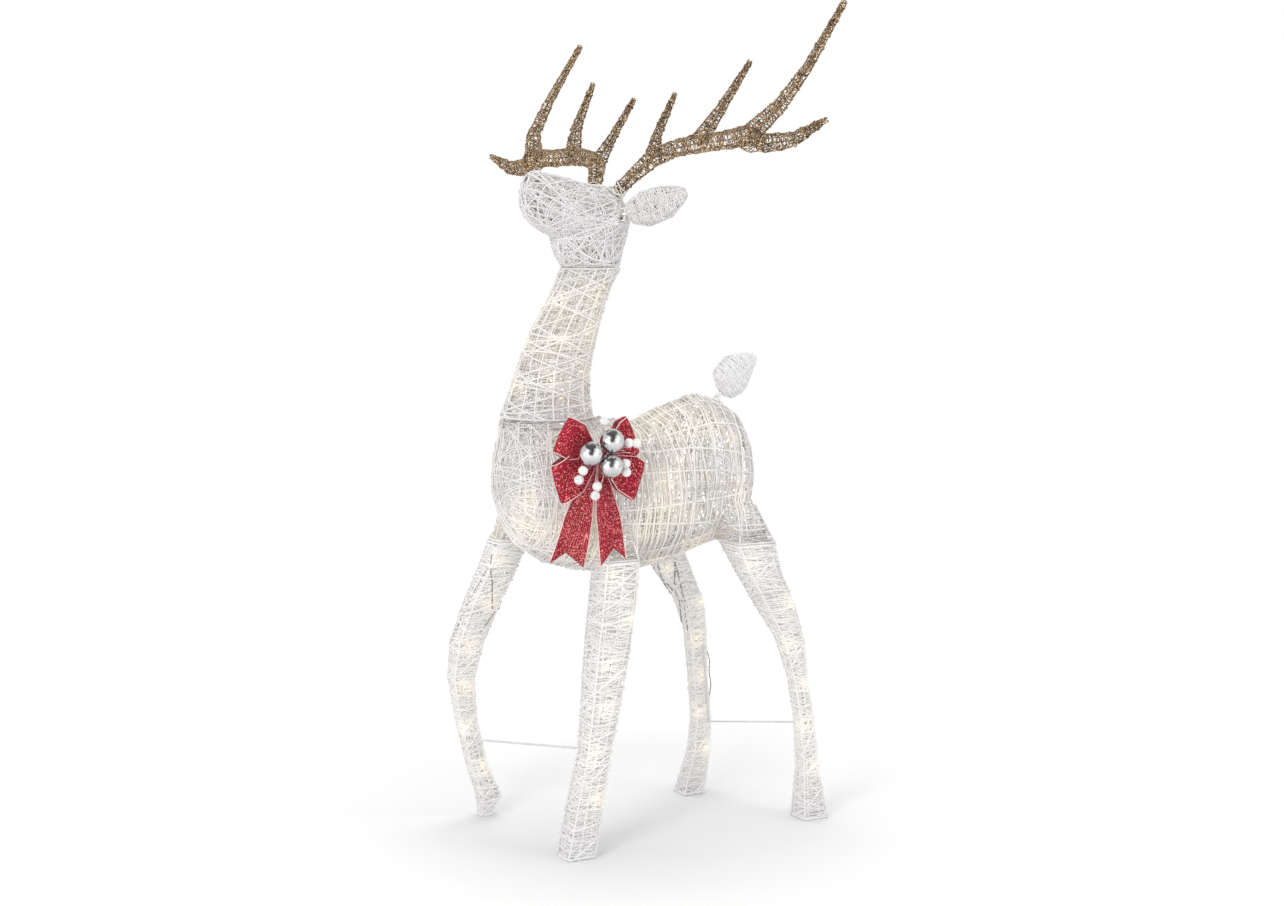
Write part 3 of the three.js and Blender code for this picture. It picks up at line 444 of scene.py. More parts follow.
def flag_material():
    """Black cloth."""
    material, tree, shader, own = started("black_cloth")
    tone = placed(tree, "patches", Vector=own, Scale=9.0)
    base = mix(tree, tone["Patch"], (0.05, 0.05, 0.05), (0.09, 0.09, 0.09))
    feed(tree, shader.inputs["Base Color"], base)
    shader.inputs["Roughness"].default_value = 1.0
    return material


def reflector_material():
    """White cloth lit from behind, a little uneven."""
    material, tree, shader, own = started("lit_cloth")
    tone = placed(tree, "patches", Vector=own, Scale=4.0)
    feed(tree, shader.inputs["Emission Color"], mix(tree, tone["Patch"], (1, 1, 1), (0.9, 0.9, 0.9)))
    shader.inputs["Emission Strength"].default_value = 2.4
    material.cycles.emission_sampling = "NONE"
    return material


def all_materials():
    """Every finish, by the name that the pieces use."""
    return {
        # The last number of each white or pale cord is its painted glow, a constant glow standing in for
        # light coming through it; the pale cord has the most.
        "white_cord": cord_material(
            "white_cord", (0.65, 0.63, 0.628), (0.43, 0.412, 0.40), (0.80, 0.80, 0.82), 0.18, 0.07
        ),
        "white_strand": cord_material(
            "white_strand", (0.66, 0.645, 0.648), (0.52, 0.507, 0.505), (0.80, 0.80, 0.82), 0.10, 0.07
        ),
        "pale_cord": cord_material(
            "pale_cord", (0.61, 0.602, 0.605), (0.52, 0.512, 0.515), (0.70, 0.70, 0.72), 0.14, 0.20
        ),
        "gold_cord": cord_material(
            "gold_cord", (0.37, 0.232, 0.118), (0.078, 0.046, 0.026), (1.0, 0.78, 0.48), 0.20,
            size=1.9 * MM,
        ),
        "frame": coated_wire_material("white_coated_wire", (0.80, 0.79, 0.77), (0.66, 0.65, 0.62)),
        "brace": coated_wire_material("grey_coated_wire", (0.60, 0.60, 0.61), (0.46, 0.46, 0.48)),
        "gold_wire": bright_wire_material("gold_wire", (0.40, 0.27, 0.14), (0.20, 0.13, 0.07)),
        "bright_wire": bright_wire_material("bright_wire", (0.92, 0.80, 0.77), (0.72, 0.60, 0.58)),
        "smoky_lead": lead_material("smoky_lead", (0.36, 0.33, 0.31), (0.24, 0.22, 0.21), 0.8),
        "lead": lead_material("clear_lead", (0.85, 0.83, 0.78), (0.72, 0.70, 0.64), 0.7),
        "clear": lead_material("clear_plastic", (0.82, 0.82, 0.80), (0.68, 0.68, 0.66), 0.6),
        "lamp": lamp_material(),
        "ribbon": ribbon_material(
            "red_weave", (0.33, 0.007, 0.026), (0.085, 0.002, 0.008), (0.92, 0.30, 0.27), 0.42
        ),
        "ribbon_edge": ribbon_material(
            "red_edge", (0.86, 0.60, 0.58), (0.66, 0.34, 0.34), (0.95, 0.75, 0.72), 0.0
        ),
        "silver": plated_material(),
        "berry": berry_material("frosted_berry", (0.72, 0.69, 0.68), (0.58, 0.55, 0.54)),
        "grey_berry": berry_material("silver_berry", (0.55, 0.55, 0.56), (0.38, 0.38, 0.40)),
        "floor": floor_material(),
        "flag": flag_material(),
        "reflector": reflector_material(),
    }


# ---- cords as meshes ----


class Cords:
    """Collects lengths of cord, each a closed four-sided tube, into one piece."""

    SIDES = 4

    def __init__(self):
        self.points, self.faces, self.places, self.tones = [], [], [], []
        self.count = 0

    def add(self, points, outs, radius, closed=False, tone=0.5):
        """One length of cord through points. outs are directions away from what it lies on."""
        points, outs = np.asarray(points, float), np.asarray(outs, float)
        size = len(points)
        if size < 3:
            return
        ahead = np.roll(points, -1, 0) - np.roll(points, 1, 0)
        if not closed:
            ahead[0], ahead[-1] = points[1] - points[0], points[-1] - points[-2]
        ahead = unit(ahead)
        across = unit(np.cross(ahead, outs))
        up = np.cross(across, ahead)
        turns = np.arange(self.SIDES) * 2 * math.pi / self.SIDES
        radius = np.broadcast_to(np.asarray(radius, float), (size,))
        ring = across[:, None] * np.cos(turns)[None, :, None] + up[:, None] * np.sin(turns)[None, :, None]
        self.points.append((points[:, None] + ring * radius[:, None, None]).reshape(-1, 3))
        self._faces(points, size, closed)
        self.tones.append(np.full(size * self.SIDES, tone))
        self.count += size * self.SIDES

    def _faces(self, points, size, closed):
        sides = self.SIDES
        here = np.arange(size if closed else size - 1)
        there = (here + 1) % size
        side, next_side = np.arange(sides), (np.arange(sides) + 1) % sides
        corners = [(here, side), (here, next_side), (there, next_side), (there, side)]
        quads = np.stack([self.count + k[:, None] * sides + s[None, :] for k, s in corners], -1)
        steps = np.linalg.norm(np.roll(points, -1, 0) - points, axis=1)
        along = np.concatenate([[0], np.cumsum(steps)])
        lower, upper = along[here][:, None], along[here + 1][:, None]
        left, right = side[None, :] / sides, (side[None, :] + 1) / sides
        wide = np.broadcast_arrays(left, right, right, left, lower)[:4]
        high = np.broadcast_arrays(lower, lower, upper, upper, left)[:4]
        places = np.stack([np.stack(np.broadcast_arrays(w, h), -1) for w, h in zip(wide, high)], -2)
        self.faces.append(quads.reshape(-1, 4))
        self.places.append(places.reshape(-1, 2))
        if not closed:
            first, last = self.count + side, self.count + (size - 1) * sides + side
            self.faces.append(np.stack([first[::-1], last]))
            self.places.append(np.zeros((2 * sides, 2)))

    def piece(self, name, body, material, slot, replaces=(), lamps=None):
        """The cords as one piece on a body, with a painted warm glow where a lamp is near."""
        co = np.concatenate(self.points)
        mesh = bpy.data.meshes.new(name)
        mesh.from_pydata(co, [], np.concatenate(self.faces))
        mesh.polygons.foreach_set("use_smooth", np.ones(len(mesh.polygons), bool))
        layer = mesh.uv_layers.new(name="cord")
        layer.data.foreach_set("uv", np.concatenate(self.places).astype(np.float32).ravel())
        put(mesh, "tone", np.concatenate(self.tones))
        put(mesh, "painted_lamp_glow", painted_lamp_glow_at(co, lamps))
        return settle(mesh, name, body, material, replaces)


def settle(mesh, name, body, material, replaces=()):
    """A mesh as a piece that rides on a body."""
    mesh.materials.append(material)
    piece = bpy.data.objects.new(name, mesh)
    bpy.context.scene.collection.objects.link(piece)
    if replaces:
        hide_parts(*replaces)
    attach(piece, body)
    return piece


def put(mesh, name, values):
    """Stores a value at each point of a mesh."""
    mesh.attributes.new(name, "FLOAT", "POINT").data.foreach_set("value", values.astype(np.float32))


def unit(v):
    """Directions of length one."""
    return v / np.maximum(np.linalg.norm(v, axis=-1, keepdims=True), 1e-9)


def painted_lamp_glow_at(points, lamps):
    """How strong the painted lamp glow is at each point, from 0 to 1."""
    total = np.zeros(len(points))
    for lamp in [] if lamps is None else lamps:
        apart = np.sum((points - lamp) ** 2, 1)
        for reach, share in PAINTED_LAMP_GLOW:
            total += share * np.exp(-apart / reach**2)
    return np.minimum(total, 1.0)


# ---- the outside of a section, as rows along it and columns round it ----


class Skin:
    """A grid of points on a section's outside, with the direction away from it at each."""

    def __init__(self, points, outs):
        self.points, self.outs = points, outs
        self.rows, self.columns = points.shape[:2]

    def at(self, rows, turns):
        """Points and outward directions at rows (0 to rows - 1) and turns (in whole turns)."""
        rows = np.clip(rows, 0, self.rows - 1.001)
        k = rows.astype(int)
        place = (turns % 1.0) * self.columns
        i = place.astype(int) % self.columns
        a, b = (rows - k)[:, None], (place - np.floor(place))[:, None]
        j = (i + 1) % self.columns
        found = []
        for grid in (self.points, self.outs):
            low = grid[k, i] * (1 - b) + grid[k, j] * b
            high = grid[k + 1, i] * (1 - b) + grid[k + 1, j] * b
            found.append(low * (1 - a) + high * a)
        return found


def tree_of(node):
    """A search tree over the surface of a node of the frame."""
    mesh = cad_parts[node].data
    return BVHTree.FromPolygons([v.co for v in mesh.vertices], [p.vertices[:] for p in mesh.polygons])


def reach_in(tree, middle, direction, reach):
    """Where a ray from outside towards the middle meets the surface, or NaN."""
    hit = tree.ray_cast(Vector(middle + direction * reach), Vector(-direction), reach * 0.97)[0]
    return np.array(hit) if hit is not None else np.full(3, np.nan)


def round_skin(tree, middles, axis, start, columns, reach):
    """A section's skin from rays towards its middle line, one ring of them for each middle."""
    axis, start = unit(np.array(axis, float)), np.array(start, float)
    start = unit(start - axis * np.dot(start, axis))
    other = np.cross(axis, start)
    turns = np.arange(columns) * 2 * math.pi / columns
    around = np.cos(turns)[:, None] * start + np.sin(turns)[:, None] * other
    points = np.array([[reach_in(tree, m, d, reach) for d in around] for m in middles])
    return Skin(points, np.broadcast_to(around, points.shape))


def ball_skin(tree, middle, forward, side, rows, columns, reach):
    """A rounded section's skin from rays towards one middle: rows go from its front to its back."""
    forward, side = np.array(forward, float), np.array(side, float)
    other = np.cross(forward, side)
    turns = np.arange(columns) * 2 * math.pi / columns
    around = np.cos(turns)[:, None] * side + np.sin(turns)[:, None] * other
    tilts = np.linspace(0.02, math.pi - 0.02, rows)
    outs = np.array([math.cos(t) * forward + math.sin(t) * around for t in tilts])
    points = np.array([[reach_in(tree, middle, d, reach) for d in row] for row in outs])
    return Skin(points, outs)


def slice_middle(node, height):
    """The middle of a node's cross section at a height."""
    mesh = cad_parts[node].data
    co = np.array([v.co for v in mesh.vertices])
    ends = np.array([e.vertices[:] for e in mesh.edges])
    low, high = co[ends[:, 0]], co[ends[:, 1]]
    crossing = (low[:, 2] - height) * (high[:, 2] - height) < 0
    low, high = low[crossing], high[crossing]
    part = ((height - low[:, 2]) / (high[:, 2] - low[:, 2]))[:, None]
    met = low + (high - low) * part
    return (met.min(0) + met.max(0)) / 2


def lay(cords, skin, rows, turns, radius, lift, tone, longest=0.045):
    """Lays a cord along rows and turns of a skin, broken where the skin is open or leaps."""
    points, outs = skin.at(np.asarray(rows, float), np.asarray(turns, float))
    points = points + outs * lift
    good = np.isfinite(points).all(1)
    step = np.linalg.norm(np.diff(points, axis=0), axis=1)
    start = 0
    for k in range(1, len(points) + 1):
        unbroken = k < len(points) and good[k] and good[k - 1] and step[k - 1] <= longest
        if unbroken:
            continue
        if good[start:k].all() and k - start >= 3:
            cords.add(points[start:k], outs[start:k], radius, tone=tone)
        start = k


def hoops(cords, skin, rng, rows, radius, sway, lifts, tones=(0.1, 0.9)):
    """Turns of cord round a section at some rows, each a little out of square.

    lifts is how far off the skin a cord may lie, in millimetres.
    """
    turns = np.linspace(0, 1, skin.columns + 1)
    for row in rows:
        phase, swing = rng.uniform(0, 2 * math.pi), rng.uniform(-sway, sway)
        path = row + swing * np.sin(2 * math.pi * turns + phase) + rng.uniform(-0.2, 0.2)
        lay(cords, skin, path, turns, radius, rng.uniform(*lifts) * MM, rng.uniform(*tones))


def helices(cords, skin, rng, starts, pitch, radius, lifts, tones=(0.1, 0.9), span=None):
    """Cords that climb along a section while they go round it. pitch is in rows a turn."""
    low, high = span or (0, skin.rows - 1)
    for k in range(starts):
        climb = pitch * rng.uniform(0.8, 1.2)
        steps = int(abs((high - low) / climb) * skin.columns) + 2
        turns = np.linspace(0, (high - low) / climb, steps)
        wander = 0.02 * np.sin(turns * rng.uniform(4, 9) + rng.uniform(0, 6))
        rows = low + (high - low) * np.linspace(0, 1, steps)
        around = k / starts + turns + wander + rng.uniform(-0.5, 0.5) / starts
        lay(cords, skin, rows, around, radius, rng.uniform(*lifts) * MM, rng.uniform(*tones))


def crossed(cords, skin, rng, starts, pitch, *laying):
    """Helices both ways round a section."""
    for way in (1, -1):
        helices(cords, skin, rng, starts, way * pitch, *laying)


def strays(cords, skin, rng, count, most=5.0):
    """Short slack bits of cord that stand a little off a section."""
    for _ in range(count):
        along = np.linspace(0, 1, 7)
        row, turn = rng.uniform(1, skin.rows - 2), rng.uniform(0, 1)
        climb, sweep = rng.uniform(-1.2, 1.2), rng.uniform(0.06, 0.16)
        points, outs = skin.at(row + along * climb, turn + along * sweep)
        lift = (1 + rng.uniform(1, most) * np.sin(along * math.pi))[:, None] * MM
        if np.isfinite(points).all():
            cords.add(points + outs * lift, outs, FINE, tone=rng.uniform(0, 0.8))


def lengthways(cords, skin, rng, turns, radius, lifts, drift=0.0, tones=(0.0, 0.5)):
    """Cords that run along a section."""
    rows = np.linspace(0, skin.rows - 1, skin.rows * 2)
    for turn in turns:
        swing = drift * np.sin(np.linspace(0, rng.uniform(2, 6), len(rows)) + rng.uniform(0, 6))
        lay(cords, skin, rows, turn + swing, radius, rng.uniform(*lifts) * MM, rng.uniform(*tones))


# ---- lamps ----


def lamps_in(name, skin, body, looks, rows, turns, depth):
    """A lamp lead inside a section with a lamp at each turn of its path. Returns the lamps' places."""
    steps = np.linspace(0, len(rows) - 1, (len(rows) - 1) * 8 + 1)
    rows_along = np.interp(steps, np.arange(len(rows)), rows)
    turns_along = np.interp(steps, np.arange(len(turns)), turns)
    points, outs = skin.at(rows_along, turns_along)
    good = np.isfinite(points).all(1)
    points, outs = (points - outs * depth)[good], outs[good]
    lead = Cords()
    lead.add(points, outs, LEAD)
    node = f"{name}_lamps"
    lead.piece(f"{name}_lamp_lead", body, looks["lead"], "lamp_lead", [node])
    places, outward = skin.at(np.array(rows, float), np.array(turns, float))
    good = np.isfinite(places).all(1)
    places, outward = (places - outward * depth)[good], outward[good]
    bulbs = Cords()
    profile = ((-0.2, 1.2), (1.5, 2.3), (4.0, 2.6), (7.0, 2.3), (8.8, 1.3), (9.4, 0.4))
    for place, out in zip(places, outward):
        side = unit(np.cross(out, (0.3, 0.2, 1.0)))
        path = [place + out * h * MM for h, _ in profile]
        bulbs.add(path, [side] * len(path), [r * MM for _, r in profile])
    bulbs.piece(f"{name}_lamp_domes", body, looks["lamp"], "lamp_lead")
    return places + outward * 6 * MM


# ---- wound sections ----


def wound(name, body, fine, thick, finish, lamps, replaces):
    """The two pieces of a wound cover: its net of fine cord and the thicker strands over it."""
    net, strand = finish
    fine.piece(f"{name}_net", body, net, "white_cord", replaces, lamps)
    thick.piece(f"{name}_strands", body, strand, "white_cord", (), lamps)


def make_trunk(looks):
    """The trunk: turns of cord along its length, with the chest, the neck's seat and four leg stubs."""
    rng = seeded("trunk")
    low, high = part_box("trunk_wrap")
    lengths = np.concatenate([
        low.y + np.array([0.5, 3, 7, 11]) * MM,
        np.arange(low.y + 0.016, high.y - 0.010, 7 * MM),
        high.y - np.array([6, 3, 0.5]) * MM,
    ])
    across, height = TRUNK_MIDDLE
    middles = [np.array((across, y, height)) for y in lengths]
    skin = round_skin(tree_of("trunk_wrap"), middles, (0, 1, 0), (1, 0, 0), 72, 0.30)
    last = skin.rows - 1
    spots = np.arange(6, last - 3, 2.1)
    turns = np.cumsum(np.full(len(spots), 0.139)) + rng.uniform(-0.02, 0.02, len(spots))
    lamps = lamps_in("trunk", skin, "trunk", looks, spots, turns, 20 * MM)
    # Spots deeper inside with no lamp of their own, which only add painted lamp glow to the cord round
    # them.
    painted_glow_rows, painted_glow_turns = rng.uniform(5, last - 4, 46), rng.uniform(0, 1, 46)
    painted_glow_spots, _ = skin.at(painted_glow_rows, painted_glow_turns)
    lamps = np.concatenate([lamps, painted_glow_spots[np.isfinite(painted_glow_spots).all(1)]])
    fine, thick = Cords(), Cords()
    net = (0.3, 1.0)
    hoops(fine, skin, rng, np.arange(1, last - 1, 0.85), FINE, 1.1, (0.2, 1.6), net)
    crossed(fine, skin, rng, 11, 16, FINE, (0.8, 2.2), net)
    lengthways(fine, skin, rng, np.linspace(0, 1, 64, endpoint=False), FINE, (1, 2), 0.01, net)
    hoops(thick, skin, rng, np.arange(3, last - 2, 2.2), STRAND, 1.8, (1.4, 4.5), (0, 0.8))
    ribs = np.linspace(0.02, 1.02, 18, endpoint=False)
    lengthways(thick, skin, rng, ribs, STRAND, (1.5, 3.5), 0.014, (0, 0.8))
    strays(thick, skin, rng, 160)
    wind_chest(fine, thick, rng)
    chest = (6, 26)
    crossed(thick, skin, rng, 7, 16, STRAND * 0.85, (1.4, 4), (0.1, 0.9), chest)
    wind_seat(fine, thick, rng)
    for leg in LEGS:
        wind_stub(leg, fine, thick, rng)
    finish = looks["white_cord"], looks["white_strand"]
    wound("trunk", "trunk", fine, thick, finish, lamps, ["trunk_wrap"])


def wind_chest(fine, thick, rng):
    """The rounded front of the trunk, wound every way over its middle."""
    across, height = TRUNK_MIDDLE
    middle = np.array((across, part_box("trunk_wrap")[0].y + 0.12, height))
    skin = ball_skin(tree_of("trunk_wrap"), middle, (0, -1, 0), (1, 0, 0), 60, 60, 0.30)
    skin.points[30:] = np.nan  # only its front half
    for _ in range(110):
        around_ball(fine, skin, rng, FINE, (0.6, 2.6), (0.2, 0.9))
    for _ in range(34):
        around_ball(thick, skin, rng, STRAND * 0.85, (1.4, 4.5), (0, 0.8))


def wind_seat(fine, thick, rng):
    """The collar of the trunk that the neck stands on."""
    _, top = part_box("trunk_wrap")
    along, foot = NECK_SEAT
    middles = [np.array((TRUNK_MIDDLE[0], along, z)) for z in np.linspace(foot, top.z - 1 * MM, 16)]
    skin = round_skin(tree_of("trunk_wrap"), middles, (0, 0, 1), (1, 0, 0), 48, 0.125)
    hoops(fine, skin, rng, np.arange(0, 15, 0.9), FINE, 0.8, (0.2, 1.6))
    crossed(fine, skin, rng, 12, 30, FINE, (0.5, 2))
    hoops(thick, skin, rng, [14.6, 14.9], ROD, 0.05, (1, 2), (0, 0.3))
    # The end of a frame wire stands off the collar at the front.
    start, out = (found[0] for found in skin.at(np.array([14.0]), np.array([0.675])))
    thick.add([start + out * k * MM for k in (-4, 4, 12)], [(0, 0, 1)] * 3, ROD)


def wind_stub(leg, fine, thick, rng):
    """The stub of the trunk over one leg."""
    low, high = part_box(f"{leg}_leg_sleeve")
    middle = (low + high) / 2
    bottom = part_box(f"{leg}_leg_wrap")[1].z + 1.5 * MM
    middles = [np.array((middle.x, middle.y, z)) for z in np.linspace(bottom, bottom + 0.07, 12)]
    skin = round_skin(tree_of("trunk_wrap"), middles, (0, 0, 1), (1, 1, 0), 24, 0.075)
    hoops(fine, skin, rng, np.arange(0, 11, 0.9), FINE, 0.6, (0.2, 1.6))
    crossed(fine, skin, rng, 5, 12, FINE, (0.5, 2))
    hoops(thick, skin, rng, [0.2, 5.5], STRAND, 0.1, (1, 2), (0, 0.3))
    lengthways(thick, skin, rng, [0, 0.25, 0.5, 0.75], ROD, (0.5, 1))


def make_neck(looks):
    """The neck: close turns of cord, crossed by longer ones."""
    rng = seeded("neck")
    low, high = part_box("neck_wrap")
    heights = np.linspace(low.z + 1 * MM, high.z - 1 * MM, 40)
    middles = [slice_middle("neck_wrap", z) for z in heights]
    skin = round_skin(tree_of("neck_wrap"), middles, (0, 0, 1), (1, 0, 0), 48, 0.14)
    last = skin.rows - 1
    spots = np.arange(2, last - 2, 2.0)
    turns = np.cumsum(np.full(len(spots), 0.19)) + rng.uniform(-0.02, 0.02, len(spots))
    lamps = lamps_in("neck", skin, "neck", looks, spots, turns, 14 * MM)
    fine, thick = Cords(), Cords()
    net = (0.3, 1.0)
    hoops(fine, skin, rng, np.arange(0.2, last, 0.8), FINE, 0.9, (0.2, 1.6), net)
    crossed(fine, skin, rng, 12, 26, FINE, (0.8, 2.2), net)
    hoops(thick, skin, rng, np.arange(2.5, last - 1, 4.2), STRAND, 2.6, (1.4, 3.6), (0.2, 1.0))
    lengthways(fine, skin, rng, np.linspace(0, 1, 54), FINE, (0.6, 2.2), 0.01, net)
    crossed(thick, skin, rng, 4, 22, STRAND, (1.4, 3.6), (0, 0.7))
    ends = [0.2, last - 0.3, last - 0.05, last - 0.05]
    hoops(thick, skin, rng, ends, ROD * 0.8, 0.15, (0.2, 2.4), (0.1, 0.7))
    lengthways(thick, skin, rng, np.linspace(0.03, 1.03, 14, endpoint=False), STRAND, (1, 2.6), 0.02)
    strays(thick, skin, rng, 90)
    finish = looks["white_cord"], looks["white_strand"]
    wound("neck", "neck", fine, thick, finish, lamps, ["neck_wrap"])


def head_point(p):
    """A point of the head's own frame in the whole reindeer's."""
    c, s = math.cos(HEAD_TURN), math.sin(HEAD_TURN)
    return np.array((p[0] * c - p[1] * s + HEAD_PLACE[0], p[0] * s + p[1] * c + HEAD_PLACE[1], p[2]))


def head_way(d):
    """A direction of the head's own frame in the whole reindeer's."""
    return head_point(d) - head_point((0, 0, 0))


def make_head(looks):
    """The head: cord wound every way over the skull, and a rim where it stands on the neck."""
    rng = seeded("head")
    forward, side = head_way((0, -1, 0)), head_way((1, 0, 0))
    skin = ball_skin(tree_of("head_wrap"), head_point(SKULL_MIDDLE), forward, side, 60, 60, 0.25)
    fine, thick = Cords(), Cords()
    for _ in range(165):
        around_ball(fine, skin, rng, FINE, (0.2, 2.2), (0.3, 1.0))
    for _ in range(58):
        around_ball(thick, skin, rng, STRAND * rng.uniform(0.7, 1.1), (1.2, 3.6), (0, 0.7))
    hoops(fine, skin, rng, np.arange(8, 56, 1.7), FINE, 1.4, (0.2, 1.6), (0.3, 1.0))
    strays(thick, skin, rng, 90)
    finish = looks["white_cord"], looks["white_strand"]
    wound("head", "head", fine, thick, finish, None, ["head_wrap"])
    rim = Cords()
    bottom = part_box("head_wrap")[0].z + 1.2 * MM
    middle = slice_middle("head_wrap", bottom)
    middles = [middle, middle + (0, 0, 6 * MM)]
    ring = round_skin(tree_of("head_wrap"), middles, (0, 0, 1), (1, 0, 0), 40, 0.12)
    hoops(rim, ring, rng, [0.15, 0.5, 0.8], ROD * 0.8, 0.35, (0.2, 2.6), (0.2, 0.9))
    rim.piece("head_rim", "head", looks["white_strand"], "white_cord")


def around_ball(cords, skin, rng, radius, lifts, tones):
    """One turn of cord round a rounded section, in a slanting plane that nearly passes its middle."""
    normal = unit(rng.normal(size=3) * (1.0, 0.55, 1.0))
    first = unit(np.cross(normal, (0.2, 0.3, 1.0)))
    second = np.cross(normal, first)
    angle = np.linspace(0, 2 * math.pi, 90)
    ways = np.cos(angle)[:, None] * first + np.sin(angle)[:, None] * second
    ways = unit(ways + normal * rng.uniform(-0.45, 0.45))
    tilt = np.arccos(np.clip(ways[:, 1], -1, 1))
    rows = (tilt - 0.02) / (math.pi - 0.04) * (skin.rows - 1)
    turns = np.arctan2(ways[:, 2], ways[:, 0]) / (2 * math.pi)
    lay(cords, skin, rows, turns, radius, rng.uniform(*lifts) * MM, rng.uniform(*tones))


def make_leg(leg, looks):
    """One leg: two layers of close turns on a square frame, with lamps inside."""
    name, wrap = f"{leg}_leg", f"{leg}_leg_wrap"
    body = LEG_BODY[leg.split("_")[0]]
    rng = seeded(name)
    low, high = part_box(wrap)
    heights = np.linspace(low.z + 1 * MM, high.z - 1 * MM, 84)
    middles = [slice_middle(wrap, z) for z in heights]
    skin = round_skin(tree_of(wrap), middles, (0, 0, 1), (1, 1, 0), 16, 0.09)
    last = skin.rows - 1
    spots = np.arange(14, last - 6, 12.5) + rng.uniform(-3, 3)
    turns = np.where(np.arange(len(spots)) % 2, 0.80, 0.93) + rng.uniform(-0.06, 0.06, len(spots))
    lamps = lamps_in(name, skin, body, looks, spots, turns, 8 * MM)
    fine, thick = Cords(), Cords()
    pale = (0.0, 0.45)
    # The inner layer lies under the skin and its cords get darker tones: painted shade in the gaps between
    # the outer cords.
    hoops(fine, skin, rng, np.arange(0.6, last, 0.6), FINE, 1.2, (-3.4, -1.4), (0.4, 0.8))
    hoops(fine, skin, rng, np.arange(0.3, last, 0.55), FINE, 1.6, (0.1, 2.2), pale)
    lengthways(fine, skin, rng, np.linspace(0, 1, 22), FINE, (-1, 2), 0.03, pale)
    crossed(fine, skin, rng, 6, 13, FINE, (0.5, 2.4), pale)
    hoops(thick, skin, rng, np.arange(5, last, 4.2), STRAND, 2.4, (1, 3.4), (0, 0.7))
    helices(thick, skin, rng, 2, 24, STRAND, (1, 3), (0, 0.7))
    strays(thick, skin, rng, 70)
    hoops(thick, skin, rng, [0.4, last - 0.3], ROD, 0.05, (0.8, 1.6), (0, 0.3))
    lengthways(thick, skin, rng, [0, 0.25, 0.5, 0.75], ROD * 0.8, (0.2, 0.6), tones=(0.2, 0.5))
    wound(name, body, fine, thick, (looks["pale_cord"], looks["pale_cord"]), lamps, [wrap])
    if leg == "hind_right":
        make_lead_loop(skin, looks)
    if leg.endswith("right"):
        make_top_leads(name, body, skin, rng, looks)


def make_top_leads(name, body, skin, rng, looks):
    """Lamp lead bunched round the top of a leg."""
    bunch, last = Cords(), skin.rows - 1
    for _ in range(7):
        span = (last - rng.uniform(14, 30), last - rng.uniform(1, 8))
        pitch = rng.choice([-1, 1]) * rng.uniform(40, 110)
        helices(bunch, skin, rng, 1, pitch, LEAD * 1.4, (1, 3), span=span)
    bunch.piece(f"{name}_top_leads", body, looks["smoky_lead"], "lamp_lead")


def make_lead_loop(skin, looks):
    """Lamp lead that has slipped out along the back of the leg."""
    loop = Cords()
    along = np.linspace(0, 1, 30)
    points, outs = skin.at(26 + 28 * along, np.full(30, 0.05))
    slack = (-4 + 13 * np.sin(along * math.pi) ** 0.6 + 1.2 * np.sin(along * 21))[:, None] * MM
    loop.add(points + outs * slack, outs, LEAD * 1.2)
    loop.piece("hind_right_leg_lead_loop", "hind_legs", looks["smoky_lead"], "lamp_lead")


def leaf_skin(node, root, tip, wide):
    """A leaf's skin from its root to its tip, with a narrow stem before it."""
    root, tip = np.array(root), np.array(tip)
    middles = [root + (tip - root) * t for t in np.linspace(0.0, 0.99, 34)]
    skin = round_skin(tree_of(node), middles, tip - root, wide, 28, 0.06)
    whole = np.isfinite(skin.points).all((1, 2))
    first = skin.points[whole][0]
    stem = [root + (first - root) * t for t in (0.3, 0.5, 0.75)]
    points = np.concatenate([stem, skin.points[whole]])
    return Skin(points, np.broadcast_to(skin.outs[0], points.shape))


def make_leaf(name, look, shade, root, tip, wide):
    """An ear or the tail: a flat leaf with a wound edge. shade is how dark its palest cord is."""
    rng, node = seeded(name), f"{name}_wrap"
    skin = leaf_skin(node, root, tip, wide)
    fine, thick = Cords(), Cords()
    last = skin.rows - 1
    # inner is for the layer under the skin: its cords get darker tones, a painted shade in the gaps
    # between the outer cords.
    pale, inner = (shade, shade + 0.8), (shade + 0.5, shade + 1.0)
    hoops(fine, skin, rng, np.arange(0.5, last, 0.5), FINE, 1.4, (-2.4, -0.8), inner)
    hoops(fine, skin, rng, np.arange(0.5, last, 0.55), FINE, 2.2, (0.1, 1.4), pale)
    crossed(fine, skin, rng, 9, 11, FINE, (0.3, 1.6), pale)
    lengthways(fine, skin, rng, np.linspace(0, 1, 34), FINE, (0.6, 1.6), 0.03, pale)
    lengthways(thick, skin, rng, [0, 0.5], STRAND * 0.8, (0, 0.5), tones=(0, 0.2))
    strays(fine, skin, rng, 40, 3.0)
    wound(name, name, fine, thick, (look, look), None, [node])


def make_ears(looks):
    """The two ears, mirror images of each other."""
    for side, mirror in (("left", 1), ("right", -1)):
        root, tip, wide = np.array(EAR) * (mirror, 1, 1)
        name, place = f"{side}_ear", (head_point(root), head_point(tip), head_way(wide))
        make_leaf(name, looks["white_cord"], -0.25, *place)


# ---- antlers ----


def antler_point(p, mirror):
    """A point of the left antler, or its mirror image, in the whole reindeer's frame."""
    turn, height = ANTLER_ROLL
    x, y, z = p[0] * mirror, p[1], p[2] - height
    c, s = math.cos(turn), math.sin(turn)
    return head_point((x * c + z * s, y, z * c - x * s + height))


